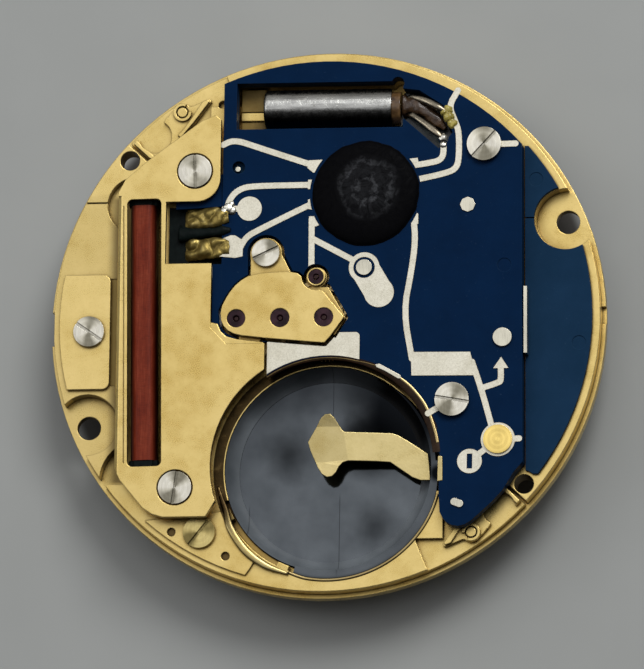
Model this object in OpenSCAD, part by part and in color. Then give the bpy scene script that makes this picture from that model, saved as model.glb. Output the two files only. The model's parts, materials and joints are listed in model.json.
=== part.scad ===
// Quartz watch movement, seen from its battery side: +Z points to the back of the watch.
// The origin is on the hand axis, in the plane that the dial rests on.

/* [Casing] */
// Radius of the casing wall
case_r = 12.8; // [12.7:0.05:13]
// How far the flange stands out from the casing wall
flange_w = 0.2; // [0.1:0.05:0.3]
// Height of the flange above the dial seat
flange_h = 0.5; // [0.4:0.05:0.6]
// Height of the main plate's back face above the dial seat
plate_h = 1.25; // [1.22:0.01:1.3]
// Radius of the two holes for the dial feet
foot_r = 0.46; // [0.35:0.01:0.5]
// Distance of the dial feet from the hand axis
foot_d = 12.2; // [12.1:0.02:12.24]
// Radius of the two casing screw holes
fix_r = 0.55; // [0.45:0.05:0.6]
// Distance of the casing screws from the hand axis
fix_d = 12.13; // [12.05:0.02:12.2]
// Radius of the stem hole
stem_r = 0.4; // [0.3:0.02:0.42]
// Height of the stem axis above the dial seat
stem_z = 0.7; // [0.69:0.01:0.72]

/* [Battery well] */
// Place of the well's axis to the right of the hand axis
well_x = 0.2; // [0.1:0.05:0.3]
// Place of the well's axis, up the photo from the hand axis
well_y = -7; // [-7.1:0.02:-6.96]
// Radius of the well
well_r = 4.87; // [4.82:0.01:4.9]
// Plate left between the date ring and the well
well_web = 0.15; // [0.1:0.01:0.2]
// Thickness of the insulating film on the well's floor
film_t = 0.04; // [0.02:0.01:0.06]
// Thickness of the contact spring
spring_t = 0.1; // [0.06:0.01:0.12]
// Height of the contact spring over the film
spring_lift = 0.46; // [0.4:0.01:0.5]

/* [Gear train] */
// Distance from the rotor to the intermediate wheel, and from there to the hand axis
train_pitch = 2.05; // [2.0:0.01:2.1]
// Place of the third wheel to the right of the hand axis
third_x = -0.4; // [-0.5:0.05:-0.3]
// Place of the third wheel, up the photo from the hand axis
third_y = 1.95; // [1.9:0.01:2.0]
// Thickness of the toothed wheels
wheel_t = 0.12; // [0.08:0.01:0.13]
// Step in height from one train wheel to the next
wheel_step = 0.22; // [0.21:0.01:0.23]
// Plate left between the motion work and the gear train
train_web = 0.17; // [0.14:0.01:0.18]
// Radius of the wheels' pivots
pivot_r = 0.09; // [0.06:0.01:0.1]
// Clearance of a pivot or tube in its bearing
run = 0.03; // [0.02:0.005:0.04]
// Radius of the rotor magnet
magnet_r = 0.62; // [0.5:0.02:0.66]
// Air gap between the rotor magnet and the stator
air_gap = 0.2; // [0.14:0.02:0.24]

/* [Hand fits] */
// Radius of the second hand's seat
second_r = 0.1; // [0.08:0.01:0.11]
// Radius of the minute hand's seat
minute_r = 0.45; // [0.43:0.01:0.46]
// Radius of the hour hand's seat
hour_r = 0.75; // [0.7:0.01:0.8]
// How far the hour hand's seat stands out from the dial seat
hour_out = 1.15; // [0.9:0.05:1.2]
// How far the minute hand's seat stands out past the hour hand's
minute_out = 0.45; // [0.3:0.05:0.5]
// How far the second hand's seat stands out past the minute hand's
second_out = 0.5; // [0.3:0.05:0.6]

/* [Motion work and calendar] */
// Module of the motion work's gears
motion_m = 0.1; // [0.095:0.001:0.101]
// Thickness of the date ring
ring_t = 0.18; // [0.12:0.01:0.2]
// Outer radius of the date ring
ring_r = 11.1; // [11.0:0.02:11.16]
// Radius where the date guard meets the printed face of the ring
guard_r = 8.9; // [8.85:0.01:8.95]
// Thickness of the date guard
guard_t = 0.08; // [0.05:0.01:0.09]

/* [Coil and stator] */
// Place of the coil's axis
coil_x = -8.6; // [-8.65:0.01:-8.55]
// Width of the winding
coil_w = 1.25; // [1.1:0.05:1.3]
// Lower end of the winding
coil_low = -6.6; // [-6.65:0.05:-6.5]
// Upper end of the winding
coil_high = 5.55; // [5.5:0.05:5.6]
// Lean of the coil away from the axis of the hands
coil_lean = 0.9; // [0:0.1:1]
// Thickness of the coil core and of the stator
iron_t = 0.35; // [0.3:0.01:0.36]
// Height of the cover's back face above the dial seat
cover_top = 2.3; // [2.26:0.01:2.36]
// Thickness of the coil cover
cover_t = 0.3; // [0.2:0.02:0.32]
// Radius of the big cover screws' heads
cover_screw_r = 0.78; // [0.7:0.02:0.8]

/* [Circuit] */
// Height of the circuit board's back face above the dial seat
board_top = 2.1; // [2.08:0.01:2.14]
// Thickness of the circuit board
board_t = 0.35; // [0.3:0.01:0.36]
// Radius of the board's outer edge
board_r = 12.25; // [12.15:0.05:12.3]
// Width of the conductor tracks
track_w = 0.28; // [0.2:0.02:0.34]
// Thickness of the conductor tracks
track_t = 0.03; // [0.02:0.01:0.05]
// Radius of the chip's cap
chip_r = 2.55; // [2.4:0.05:2.6]
// Height of the chip's cap over the board
chip_h = 0.34; // [0.25:0.01:0.38]
// Radius of the quartz can
quartz_r = 0.95; // [0.85:0.05:0.96]
// Length of the quartz can
quartz_l = 6.0; // [5.8:0.05:6.05]
// Radius of the module screws' heads
board_screw_r = 0.8; // [0.7:0.02:0.82]

/* [Hidden] */
$fn = 64;

gold = "#e0c577";
brass = "#c9a24b";
steel = "#c9c9c4";
ruby = "#7a1f3d";
blue = "#123a6b";

// Extra depth of a cut past the face that it opens
over = 0.1;
// Gap between pieces that lie side by side
gap = 0.06;

// Heights on the dial side
ring_face = 0.04;
ring_room = 0.03;
calendar_z = ring_face + ring_t + ring_room;
well_z = calendar_z + well_web;
hour_gear_z = guard_t + 0.02;
hour_gear_t = 0.055;
minute_gear_z = hour_gear_z + hour_gear_t + 0.155;
motion_z = minute_gear_z + wheel_t + 0.03;

// Heights of the train: each wheel lies a step above the one that it drives
train_z = motion_z + train_web;
centre_z = train_z + 0.17;
third_z = centre_z + wheel_step;
seconds_z = third_z + wheel_step;
inter_z = seconds_z + wheel_step;
rotor_gear_z = inter_z;
pinion_low = 0.05;
pinion_h = wheel_step;
stator_z = plate_h - iron_t;
core_z = plate_h;
cover_z = cover_top - cover_t;
bridge_z = rotor_gear_z - pinion_low + pinion_h + 0.16;
bridge_step_z = cover_z - 0.02;
jewel_t = 0.24;
plate_jewel_t = train_web - 0.03;

// Places of the train's axes
rotor_p = [-2 * train_pitch, 0];
inter_p = [-train_pitch, 0];
third_p = [third_x, third_y];
hand_p = [0, 0];
well_p = [well_x, well_y];

// Teeth of the train, the motion work and the calendar
rotor_n = 8;
inter_n = 48;
inter_leaves = 10;
seconds_n = 50;
seconds_leaves = 8;
third_n = 60;
third_leaves = 8;
centre_n = 64;
cannon_n = 10;
minute_n = 30;
minute_leaves = 8;
hour_n = 32;
setting_n = 34;
stem_setting_n = 34;
date_drive_n = 64;
date_n = 31;

// Tooth form: share of half a pitch that a tooth takes, and its height and root depth in modules
wheel_share = 0.8;
leaf_share = 0.7;
wheel_head = 1.1;
leaf_head = 0.8;
tooth_root = 1.3;
root_share = 1.25;
tip_share = 0.35;
rim_w = 0.16;
spoke_w = 0.2;

function dist(a, b) = norm(b - a);
function toward(a, b) = atan2(b[1] - a[1], b[0] - a[0]);
function module_of(a, b, n1, n2) = 2 * dist(a, b) / (n1 + n2);
function polar(r, a) = [r * cos(a), r * sin(a)];
// Turn of a gear that puts a tooth, or a gap, in the direction a
function tooth_at(a) = a;
function gap_at(a, n) = a + 180 / n;
// Turn of a second gear so that its gap meets the first gear's tooth in the direction a
function mesh_turn(a, turn, n1, n2) = a + 180 + 180 / n2 - (turn - a) * n1 / n2;
function gear_points(n, m, share, head, turn) = [
    for (i = [0 : n - 1])
        for (c = [[-tooth_root, -root_share], [0, -1], [head, -tip_share],
                  [head, tip_share], [0, 1], [-tooth_root, root_share]])
            polar(m * (n / 2 + c[0]), turn + i * 360 / n + c[1] * share * 90 / n)
];

// Modules of the four steps of the train
rotor_m = module_of(rotor_p, inter_p, rotor_n, inter_n);
inter_m = module_of(inter_p, hand_p, inter_leaves, seconds_n);
seconds_m = module_of(hand_p, third_p, seconds_leaves, third_n);
third_m = module_of(third_p, hand_p, third_leaves, centre_n);

// Radii to the tips of the larger wheels
function tip_r(n, m) = m * (n / 2 + wheel_head);
centre_tip = tip_r(centre_n, third_m);
third_tip = tip_r(third_n, seconds_m);
seconds_tip = tip_r(seconds_n, inter_m);
inter_tip = tip_r(inter_n, rotor_m);
// Room left round the tips of turning wheels, in the train and on the dial side
turning_room = 0.12;
dial_room = 0.1;

// Places of the motion work, worked out from the tooth counts
minute_a = 150;
minute_p = polar(motion_m * (cannon_n + minute_n) / 2, minute_a);
setting_d = motion_m * (minute_n + setting_n) / 2;
setting_a = 172;
setting_p = minute_p + polar(setting_d, setting_a);
stem_setting_d = motion_m * (setting_n + stem_setting_n) / 2;
stem_setting_a = 180 + asin((setting_p[1] - 0.05) / stem_setting_d);
stem_setting_p = setting_p + polar(stem_setting_d, stem_setting_a);
date_drive_a = 35;
date_drive_p = polar(motion_m * (hour_n + date_drive_n) / 2, date_drive_a);
minute_turn = gap_at(minute_a + 180, minute_n);
hour_turn = gap_at(minute_a, hour_n);
setting_turn = mesh_turn(setting_a, minute_turn, minute_n, setting_n);
stem_setting_turn = mesh_turn(stem_setting_a, setting_turn, setting_n, stem_setting_n);
date_drive_turn = mesh_turn(date_drive_a, hour_turn, hour_n, date_drive_n);
setting_tip = tip_r(setting_n, motion_m);
stem_setting_tip = tip_r(stem_setting_n, motion_m);
minute_tip = tip_r(minute_n, motion_m);
hour_tip = tip_r(hour_n, motion_m);
post_r = 0.2;
post_in = 0.1;
date_post_in = 0.15;
finger_r = 3.45;
jumper_p = [5.2, -1.4];
jumper_r = 0.55;
jumper_nose_p = polar(8, -33);

// Stem side
foot_a = 140;
fix_a = 23;
stem_wall_x = -11.9;
stem_block_x = -10.82;
keyless_x = -9.78;
keyless_z = 0.3;

// Screws: places, turns of their slots, slot width, shank radii and the depths of their holes
cover_screw_p = [[-6.14, 7.06], [-6.85, -8]];
cover_screw_a = [92, 82];
bridge_screw_p = [-2.78, 3.13];
board_screw_p = [[7.4, 8.14], [6.05, -4]];
board_screw_a = [48, -10];
contact_screw_p = [-5.78, -9.99];
stem_screw_p = [-11.1, -0.39];
slot_w = 0.14;
bridge_screw_r = 0.65;
contact_screw_r = 0.75;
stem_screw_r = 0.72;
bridge_screw_a = 25;
contact_screw_a = 52;
stem_screw_a = -35;
head_h = 0.24;
cover_head_h = 0.2;
contact_head_h = 0.26;
bridge_shank_r = 0.25;
shank_r = 0.4;
board_shank_r = 0.3;
stem_shank_r = 0.2;
cover_screw_low = 0.55;
board_screw_low = 0.85;
contact_screw_low = 0.8;
stem_screw_in = 0.18;
bridge_screw_in = 0.15;
// Room round a shank in a loose hole and in its own hole, and below its end
hole_fit = 0.05;
thread_fit = 0.02;
screw_end = 0.05;

// Holes for the case screws and the dial feet
fixes = [polar(fix_d, fix_a), polar(fix_d, fix_a + 180)];
feet = [polar(foot_d, foot_a), polar(foot_d, foot_a + 180)];

// Dial clamps: a C-shaped lever on a pin, in a recess that is open to the rim
clamp_pin_p = [-6.92, 10.1];
clamp_pin_r = 0.23;
clamp_pad_r = 0.44;
clamp_eye = [-8.19, 8.98];
clamp_eye_r = 0.78;
clamp_arm = 0.3;
clamp_floor = 0.93;
clamp_z = clamp_floor + 0.02;
clamp_t = 0.25;
clamp_rise = 0.18;
clamp_edge_r = case_r - 0.2;
clamp_a = [112.4, 137.3];
clamp_slit = 0.14;
clamp_blade = [[-6.97, 8.9], [-6.38, 9.62], [-5.66, 10.59], [-5.72, 10.7], [-5.97, 10.6], [-6.44, 9.86],
               [-6.82, 9.32], [-7.12, 9]];

// Cove and fine slit left of the cover, and the notch in the flange
cove_p = [-9.05, 5.72];
cove_r = 1.33;
seam_y = 5.81;
seam_w = 0.06;
notch_a = 1.3;
notch_w = 0.8;
notch_h = 0.3;

// Battery spring and positive contact
spring_z = well_z + film_t + spring_lift;
spring_bend = 20;
contact_r = well_r + 0.28;
contact_wall = 0.1;
contact_a = [202, 250];
contact_z = 0.95;
contact_plate_t = 0.15;

// Coil: core, winding, bobbin, and the bed for them in the plate
core_w = 0.7;
cover_boss_r = 0.95;
stator_r = 1.5;
stator_arm = [0.3, 0.6];
stator_notch_a = 60;
stator_notch_r = 0.1;
core_pad_r = 0.9;
core_out = 0.3;
core_in = 0.5;
coil_h = 1.1;
coil_axis_z = core_z + iron_t / 2;
coil_bed_z = 0.6;
cheek_t = 0.3;
cheek_h = 0.75;

// Coil cover: its edges, its slot with the fold beside it, and the seats of its screws
cover_left = coil_x - coil_w / 2 - 0.49;
cover_right = -4.95;
cover_seat_z = cover_top - 0.16;
slot_x = [coil_x - 0.7, coil_x + 0.9];
slot_y = [coil_low - 0.38, coil_high + 0.2];
slot_corner = 0.25;
fold_gap = 0.14;
fold_w = 0.05;
fold_depth = 0.03;

// Window over the coil's terminals, and the two foils that rise from them
window_x = coil_x + coil_w / 2 + 0.5;
window_y = [2.65, 5.6];
foil_t = 0.07;
foil_w = 0.85;
foil_y = [3.1, 4.55];
foil_path = [[-6.65, 1.5], [-5.95, 1.56], [-5.45, 1.95], [-4.95, 2.18], [-4.6, 2.18]];

// Arbors, jewels and the tube of the centre wheel
arbor_r = 0.12;
seat_r = 0.16;
end_play = 0.04;
pivot_low = motion_z + end_play;
pivot_high = cover_top - 0.1;
jewel_seat_r = 0.36;
jewel_sunk = 0.04;
bush_r = 0.55;
tube_r = 0.27;
tube_bore = second_r + 0.04;
tube_shoulder_r = tube_r + 0.06;
hub_r = 0.45;
centre_hub_r = 0.6;
post_hub_r = 0.5;
bridge_jewel_r = [0.43, 0.45, 0.45];
third_jewel_r = 0.36;
third_boss_r = third_jewel_r + 0.07;
third_lobe_r = 0.66;
third_boss_z = cover_top - 0.1;
bridge_jewel_p = [rotor_p, inter_p, hand_p];
bridge_jewel_z = cover_top - jewel_sunk - jewel_t;
third_jewel_z = third_boss_z - jewel_sunk / 2 - jewel_t;

// Train bridge: foot, and outline of its upper plate
bridge_foot_p = [-3.5, -2.2];
bridge_foot_r = 0.45;
bridge_pillar_r = 0.62;
bridge_tab_r = 0.75;
bridge_outline = [[-4.37, -0.68], [-3.68, -0.86], [-0.12, -1.21], [0.11, -1.21], [0.88, -0.12], [0.95, -0.02],
                  [0.91, 0.07], [0.19, 0.94], [-0.1, 1.32], [-0.85, 1.43], [-1.09, 2.07], [-1.72, 2.2], [-3.38, 2.11],
                  [-4.06, 1.71], [-4.51, 1.13], [-4.85, 0.44], [-4.78, -0.26]];

// Hour wheel, calendar and date guard
hour_shoulder_r = hour_r + 0.17;
finger_t = 0.045;
date_flange_z = guard_t + 0.03;
date_flange_t = ring_face + ring_t - date_flange_z;
date_tip_r = guard_r - 0.6;
date_root_r = guard_r - 0.15;
guard_screw_p = [[-1.5, 6.5], [-5.5, -5.5], [6.6, -1]];
guard_screw_r = 0.45;
guard_shank_r = 0.22;
guard_screw_h = 0.25;
guard_screw_in = 0.6;

// Keyless work and stem plate
pinion_x = [-10.75, -10.15];
pinion_r = 0.36;
pinion_collar = 0.16;
pinion_groove = 0.2;
pinion_square = 0.3;
pinion_teeth = 12;
keyless_t = 0.2;
keyless_post_r = 0.12;
lever_z = 0.95;
lever_eye_r = 0.34;
stud_p = [-10.5, -1.4];
stud_r = 0.2;
yoke_p = [-10.4, 1.5];
lever_p = [-11.25, -1.9];
stem_plate_t = 0.25;
stem_plate_corner = 0.35;

// Circuit board and the lower carrier beside it
board_z = board_top - board_t;
board_right = 9.27;
board_left = cover_right + 0.1;
board_low = [[board_left, 0], [board_left, -0.7], [-4.4, -1.1], [-2.65, -1.1], [-2.65, -6], [5.2, -6.2], [5.5, -6.5],
             [5.47, -8.4], [5.53, -9.3], [5.68, -9.58], [5.85, -9.78], [6.1, -9.92], [6.39, -9.97], [6.7, -9.9],
             [7, -9.72], [7.93, -8.87], [8.45, -8.3], [8.95, -7.45], [board_edge(-6.95), -6.95], [board_edge(0), 0]];
carrier_t = 0.22;
dimple = 0.03;
dimple_r = 0.33;
board_dimple_p = [8.4, 2.4];
carrier_dimple_p = [[9.75, 6.6], [11.85, -1.2]];

// Places on the board: chip, pins, contact disc and ring marks
chip_p = [1.85, 5.9];
upper_pin_p = [1.84, 2.37];
upper_pin_r = 0.37;
lower_pin_p = [8.36, -1.05];
lower_pin_r = 0.44;
eight_pin_p = [6.65, 5.3];
eight_pin_r = 0.36;
small_pin_p = [-4.12, 7.24];
contact_disc_p = [8.21, -5.9];
contact_disc_r = 0.68;
ring_marks = [[-3.58, 5.26], [6.9, -6.91]];
mark_r = 0.58;
strip_w = 0.16;

// Quartz can, its bed and its leads; a bend is a little wider than its wire
quartz_c = [-0.1, 10.1];
quartz_x = [-3, -3 + quartz_l];
quartz_floor = well_z - 0.03;
quartz_z = quartz_floor + 0.02 + quartz_r;
quartz_ledge_z = 0.85;
lead_r = 0.09;
bend_swell = 1.04;
solder_p = [[5.62, 9.75], [5.5, 8.4], [-4.6, 5.25]];
solder_r = [0.3, 0.24, 0.3];
solder_h = 0.24;
base_l = 0.4;

module at(p) { translate([p[0], p[1], 0]) children(); }
module disc(p, r) { translate(p) circle(r = r); }
module slab(z, h) { translate([0, 0, z]) linear_extrude(h) children(); }
module rod(p, r, z, h) { translate([p[0], p[1], z]) cylinder(r = r, h = h); }
module box2(x1, y1, x2, y2) { translate([x1, y1]) square([x2 - x1, y2 - y1]); }
// A box outline with rounded corners
module rounded(x1, y1, x2, y2, r) {
    box2(x1 + r, y1, x2 - r, y2);
    box2(x1, y1 + r, x2, y2 - r);
    for (x = [x1 + r, x2 - r], y = [y1 + r, y2 - r]) disc([x, y], r);
}
module bar(a, b, w) {
    translate(a) rotate(toward(a, b)) translate([0, -w / 2]) square([dist(a, b), w]);
}
// A run of track or foil seen from above, with round corners and ends a little wider than the run
module run_of(points, w) {
    for (i = [0 : len(points) - 2]) bar(points[i], points[i + 1], w);
    for (p = points) disc(p, w / 2 * bend_swell);
}
// Points of a line, or of a closed outline, with each corner cut to two
function quarter(a, b) = a + (b - a) / 4;
function round_run(p) = concat([p[0]],
    [for (i = [0 : len(p) - 2]) for (q = [quarter(p[i], p[i + 1]), quarter(p[i + 1], p[i])]) q], [p[len(p) - 1]]);
function round_ring(p) = [for (i = [0 : len(p) - 1]) let (n = p[(i + 1) % len(p)])
    for (q = [quarter(p[i], n), quarter(n, p[i])]) q];
// A toothed wheel with spokes and a bored hub
module spoked(n, m, share, head, turn, bore, hub, spokes) {
    rim = m * (n / 2 - tooth_root) - rim_w;
    difference() {
        polygon(gear_points(n, m, share, head, turn));
        circle(r = bore);
        difference() {
            circle(r = rim);
            circle(r = hub);
            for (i = [0 : spokes - 1]) rotate(turn + i * 360 / spokes) translate([0, -spoke_w / 2])
                square([rim + over, spoke_w]);
        }
    }
}
// A screw head with its slot turned by a, and the shank below it
module screw(p, r, z, h, a, shank_r, shank_h) {
    at(p) difference() {
        union() {
            translate([0, 0, z]) cylinder(r = r, h = h);
            translate([0, 0, z - shank_h]) cylinder(r = shank_r, h = shank_h + h / 2);
        }
        translate([0, 0, z + h * 0.55]) rotate(a) translate([-r - over, -slot_w / 2, 0])
            cube([2 * (r + over), slot_w, h]);
    }
}
module jewel(p, r, z, h) {
    translate([p[0], p[1], z]) difference() {
        cylinder(r = r, h = h);
        translate([0, 0, -over]) cylinder(r = pivot_r + run, h = h + 2 * over);
        translate([0, 0, h * 0.7]) cylinder(r1 = pivot_r + run, r2 = r * 0.62, h = h);
    }
}

// Outline of the stator with an allowance g all round
module stator_shape(g) {
    for (p = cover_screw_p) disc(p, cover_boss_r + g);
    disc(rotor_p, stator_r + g);
    bar(cover_screw_p[0], rotor_p + [-stator_arm[0], stator_arm[1]], stator_r + 2 * g);
    bar(rotor_p - stator_arm, cover_screw_p[1], stator_r + 2 * g);
}
// Turns the coil's parts a little about the coil's upper end
module leaning() {
    translate([coil_x, coil_high, 0]) rotate(coil_lean) translate([-coil_x, -coil_high, 0]) children();
}
module core_shape() {
    low = cover_screw_p[1];
    high = cover_screw_p[0];
    leaning() box2(coil_x - core_w / 2, low[1] - core_out, coil_x + core_w / 2, high[1] - gap);
    box2(coil_x, low[1] - core_out, low[0], low[1] + core_in);
    box2(coil_x, high[1] - core_in, high[0], high[1] + core_out);
    disc(low, core_pad_r);
    disc(high, core_pad_r);
}
// Room for the wheels that turn below the plate's back face
module train_pocket() {
    disc(hand_p, max(centre_tip, seconds_tip) + turning_room);
    disc(third_p, third_tip + turning_room);
    disc(inter_p, 0.75);
    disc(rotor_p, magnet_r + air_gap);
}
module clamp_shape() {
    intersection() {
        disc(hand_p, clamp_edge_r);
        union() {
            disc(clamp_pin_p, clamp_pad_r);
            difference() {
                union() {
                    polygon([[-7.3, 10.35], [-7.8, 9.7], [-8.1, 9], [-7.6, 8.1], [-6.95, 8.85], [-6.35, 9.6],
                             [-5.58, 10.64], [-5.66, 10.76], [-6.48, 10.42]]);
                    disc(clamp_eye, clamp_eye_r + clamp_arm);
                }
                disc(clamp_eye, clamp_eye_r);
                translate(clamp_eye) polygon([[0, 0], polar(3, 61), polar(4, 115), polar(3, 168)]);
                rotate(clamp_a[1]) translate([8, -clamp_slit / 2 - 0.03]) square([6, 3]);
            }
        }
    }
}
module clamp_recess() {
    difference() {
        polygon([polar(10.8, clamp_a[0]), polar(14, clamp_a[0]), polar(14.5, 125), polar(14, clamp_a[1]),
                 polar(10.8, clamp_a[1]), polar(10.6, 125)]);
        box2(-5.58, 8, -3, 10.36);
    }
}

module main_plate() {
    color(gold) difference() {
        union() {
            cylinder(r = case_r, h = plate_h, $fn = 128);
            cylinder(r = case_r + flange_w, h = flange_h, $fn = 128);
            rod(bridge_screw_p, bridge_pillar_r, plate_h - over, bridge_z - plate_h + over);
            rod(bridge_foot_p, bridge_foot_r, plate_h - over, bridge_z - plate_h + over);
        }
        plate_back_cuts();
        plate_dial_cuts();
    }
}
module plate_back_cuts() {
    deep = plate_h + over;
    rod(well_p, well_r, well_z, deep);
    difference() {
        slab(train_z, plate_h - train_z + over) train_pocket();
        rod(bridge_screw_p, bridge_pillar_r, 0, deep + over);
    }
    slab(stator_z, deep) stator_shape(gap);
    slab(coil_bed_z, deep) leaning()
        box2(coil_x - coil_w / 2 - 0.5, coil_low - 0.4, coil_x + coil_w / 2 + 0.2, coil_high + 0.6);
    for (p = cover_screw_p) rod(p, shank_r, cover_screw_low - screw_end, deep);
    for (p = board_screw_p) rod(p, board_shank_r, board_screw_low - screw_end, deep);
    rod(contact_screw_p, shank_r, contact_screw_low - screw_end, deep);
    rod(stem_screw_p, stem_shank_r, plate_h - stem_screw_in, deep);
    rod([-5.06, 10.5], 0.22, flange_h, deep);
    at(well_p) slab(contact_z - gap / 2, deep)
        sector(well_r - over, contact_r + contact_wall + gap / 2, contact_a[0] - 5, contact_a[1] + 5);
    slab(quartz_floor, deep) difference() {
        quartz_pocket();
        box2(-5, 9, quartz_x[0] - 0.1, 10.45);
    }
    slab(quartz_ledge_z, deep) quartz_pocket();
    slab(keyless_z, deep) {
        box2(stem_block_x, -2.9, keyless_x, 2.2);
        box2(stem_wall_x, -2.6, stem_block_x + over, -0.8);
        box2(-11.3, 0.75, stem_block_x + over, 1.9);
        box2(stem_wall_x, -0.9, -11.34, -0.32);
    }
    for (p = fixes) rod(p, 1.45, flange_h, deep);
    for (p = fixes) rod(p, fix_r, -over, deep);
    for (p = feet) rod(p, foot_r, -over, deep + over);
    slab(flange_h, deep) intersection() {
        disc([-8.6, -7.4], 1.95);
        box2(-12, -7.6, coil_x - coil_w / 2 - 0.2, -5);
    }
    slab(flange_h + 0.2, deep) intersection() {
        disc(cove_p, cove_r);
        box2(-12, 4.2, coil_x - coil_w / 2 - 0.2, 7.4);
    }
    slab(plate_h - 0.3, deep) box2(-case_r, seam_y, cove_p[0], seam_y + seam_w);
    rotate(notch_a) translate([case_r, -notch_w / 2, flange_h - notch_h]) cube([1, notch_w, deep]);
    for (i = [0, 180]) rotate(i) {
        slab(clamp_floor, deep) clamp_recess();
        slab(flange_h, deep) rotate(clamp_a[1]) translate([11.5, -clamp_slit / 2]) square([2, clamp_slit]);
    }
    translate([-case_r - flange_w - over, 0, stem_z]) rotate([0, 90, 0])
        cylinder(r = stem_r, h = case_r + flange_w + over + stem_block_x + over);
    translate([-case_r - flange_w - over, -0.8, -over]) cube([over + flange_w + 0.02, 1.6, deep]);
    slab(spring_z, deep) box2(well_x + well_r - 0.5, -8.1, 6.2, -6.4);
    rod(bridge_screw_p, bridge_shank_r, plate_h - bridge_screw_in - screw_end, deep);
}
module plate_dial_cuts() {
    slab(-over, calendar_z + over) difference() {
        disc(hand_p, ring_r + dial_room);
        disc(hand_p, guard_r - 0.75);
    }
    slab(-over, guard_t + 0.02 + over) disc(hand_p, guard_r + 0.05);
    slab(-over, motion_z + over) {
        disc(hand_p, hour_tip + dial_room);
        disc(minute_p, minute_tip + dial_room);
        disc(setting_p, setting_tip + dial_room);
        disc(stem_setting_p, stem_setting_tip + turning_room);
    }
    slab(-over, calendar_z + over) {
        disc(date_drive_p, finger_r + dial_room);
        run_of([jumper_p, jumper_nose_p], 1);
        disc(jumper_p, jumper_r + 0.2);
    }
    for (p = [rotor_p, inter_p, third_p]) rod(p, jewel_seat_r, motion_z, train_web + 2 * over);
    rod(hand_p, bush_r, motion_z - over, train_web + 2 * over);
    for (p = [minute_p, setting_p, stem_setting_p]) rod(p, post_r, motion_z - over, post_in + over);
    for (p = [date_drive_p, jumper_p]) rod(p, post_r, calendar_z - over, date_post_in + over);
    for (p = guard_screw_p) guard_screw_body(p, 0.02, guard_screw_in);
}
// Conical head and shank of a guard screw, grown by g
module guard_screw_body(p, g, deep) {
    translate([p[0], p[1], 0]) {
        cylinder(r1 = guard_screw_r + g, r2 = guard_shank_r + g, h = guard_screw_h);
        cylinder(r = guard_shank_r + g, h = deep + g);
    }
}
module quartz_pocket() {
    box2(-4.25, 9.05, 3.55, 11.25);
    disc([3.3, 11.15], 0.3);
    polygon([[3.3, 9.05], [3.6, 9.45], [5.25, 8], [5.9, 8.75], [5.5, 9.6], [5.45, 10.05], [4.3, 10.8], [3.5, 10.9]]);
}

// Battery side
module battery_insulator() {
    color("#5d666d") rod(well_p, well_r - gap, well_z, film_t);
}
// Contact spring: flat head with its two ends bent down, and an arm to the right of the well
module battery_spring() {
    color(gold) {
        slab(spring_z, spring_t) {
            polygon([[-0.75, -6.05], [-0.05, -5.15], [0.85, -5.3], [1.05, -5.5], [3.3, -5.6], [4.9, -6.55],
                     [6, -6.6], [6, -7.9], [4.6, -7.75], [3.1, -6.98], [1, -6.87], [-0.1, -6.9]]);
        }
        spring_end([0.4, -5.22], 0);
        spring_end([0.4, -6.88], 180);
    }
}
module spring_end(p, a) {
    translate([p[0], p[1], spring_z + spring_t]) rotate(a) rotate([-spring_bend, 0, 0])
        translate([0, 0, -spring_t]) linear_extrude(spring_t) intersection() {
            disc([0, 0.02], 0.6);
            box2(-0.5, -0.05, 0.5, 0.7);
        }
}
module sector(r1, r2, a1, a2) {
    intersection() {
        difference() {
            circle(r = r2);
            circle(r = r1);
        }
        polygon([[0, 0], polar(3 * r2, a1), polar(3 * r2, (a1 + a2) / 2), polar(3 * r2, a2)]);
    }
}
module positive_contact() {
    color(gold) {
        difference() {
            slab(plate_h, contact_plate_t) intersection() {
                circle(r = case_r - 0.25);
                difference() {
                    polygon([[-8.35, -9.35], [-4, -8.9], [-2.7, -10.7], [-3, -11], [-3.4, -11.7], [-3.9, -12.4],
                             [-9.5, -12.4]]);
                    disc(well_p, contact_r);
                }
            }
            rod(contact_screw_p, shank_r + thread_fit, plate_h - over, 1);
            for (p = [[-7.1, -9.92], [-4.55, -11.1]]) rod(p, 0.2, plate_h - over, 1);
        }
        at(well_p) slab(contact_z, plate_h + contact_plate_t - contact_z)
            sector(contact_r, contact_r + contact_wall, contact_a[0], contact_a[1]);
        for (a = contact_a) at(well_p) rotate(a + (a < 220 ? 3 : -4))
            translate([contact_r - 0.22, -0.28, contact_z]) cube([0.27, 0.56, contact_plate_t + plate_h - contact_z]);
    }
}
module positive_contact_screw() {
    z = plate_h + contact_plate_t;
    color(steel) screw(contact_screw_p, contact_screw_r, z, contact_head_h, contact_screw_a, shank_r - thread_fit,
        z - contact_screw_low);
}

// Motor
module stator() {
    color("#8f8f8a") slab(stator_z, iron_t) difference() {
        stator_shape(0);
        disc(rotor_p, magnet_r + air_gap);
        for (a = [stator_notch_a, stator_notch_a + 180])
            disc(rotor_p + polar(magnet_r + air_gap, a), stator_notch_r);
        for (p = cover_screw_p) disc(p, shank_r + hole_fit);
    }
}
module coil_core() {
    color("#9a9a94") slab(core_z, iron_t) difference() {
        core_shape();
        for (p = cover_screw_p) disc(p, shank_r + hole_fit);
    }
}
module around_core(w, h, y1, y2, r) {
    leaning() translate([coil_x, y2, coil_axis_z]) rotate([90, 0, 0]) linear_extrude(y2 - y1) difference() {
        union() {
            square([w - 2 * r, h], center = true);
            square([w, h - 2 * r], center = true);
            for (x = [-1, 1], z = [-1, 1]) disc([x * (w / 2 - r), z * (h / 2 - r)], r);
        }
        square([core_w + gap, iron_t + gap], center = true);
    }
}
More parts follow.
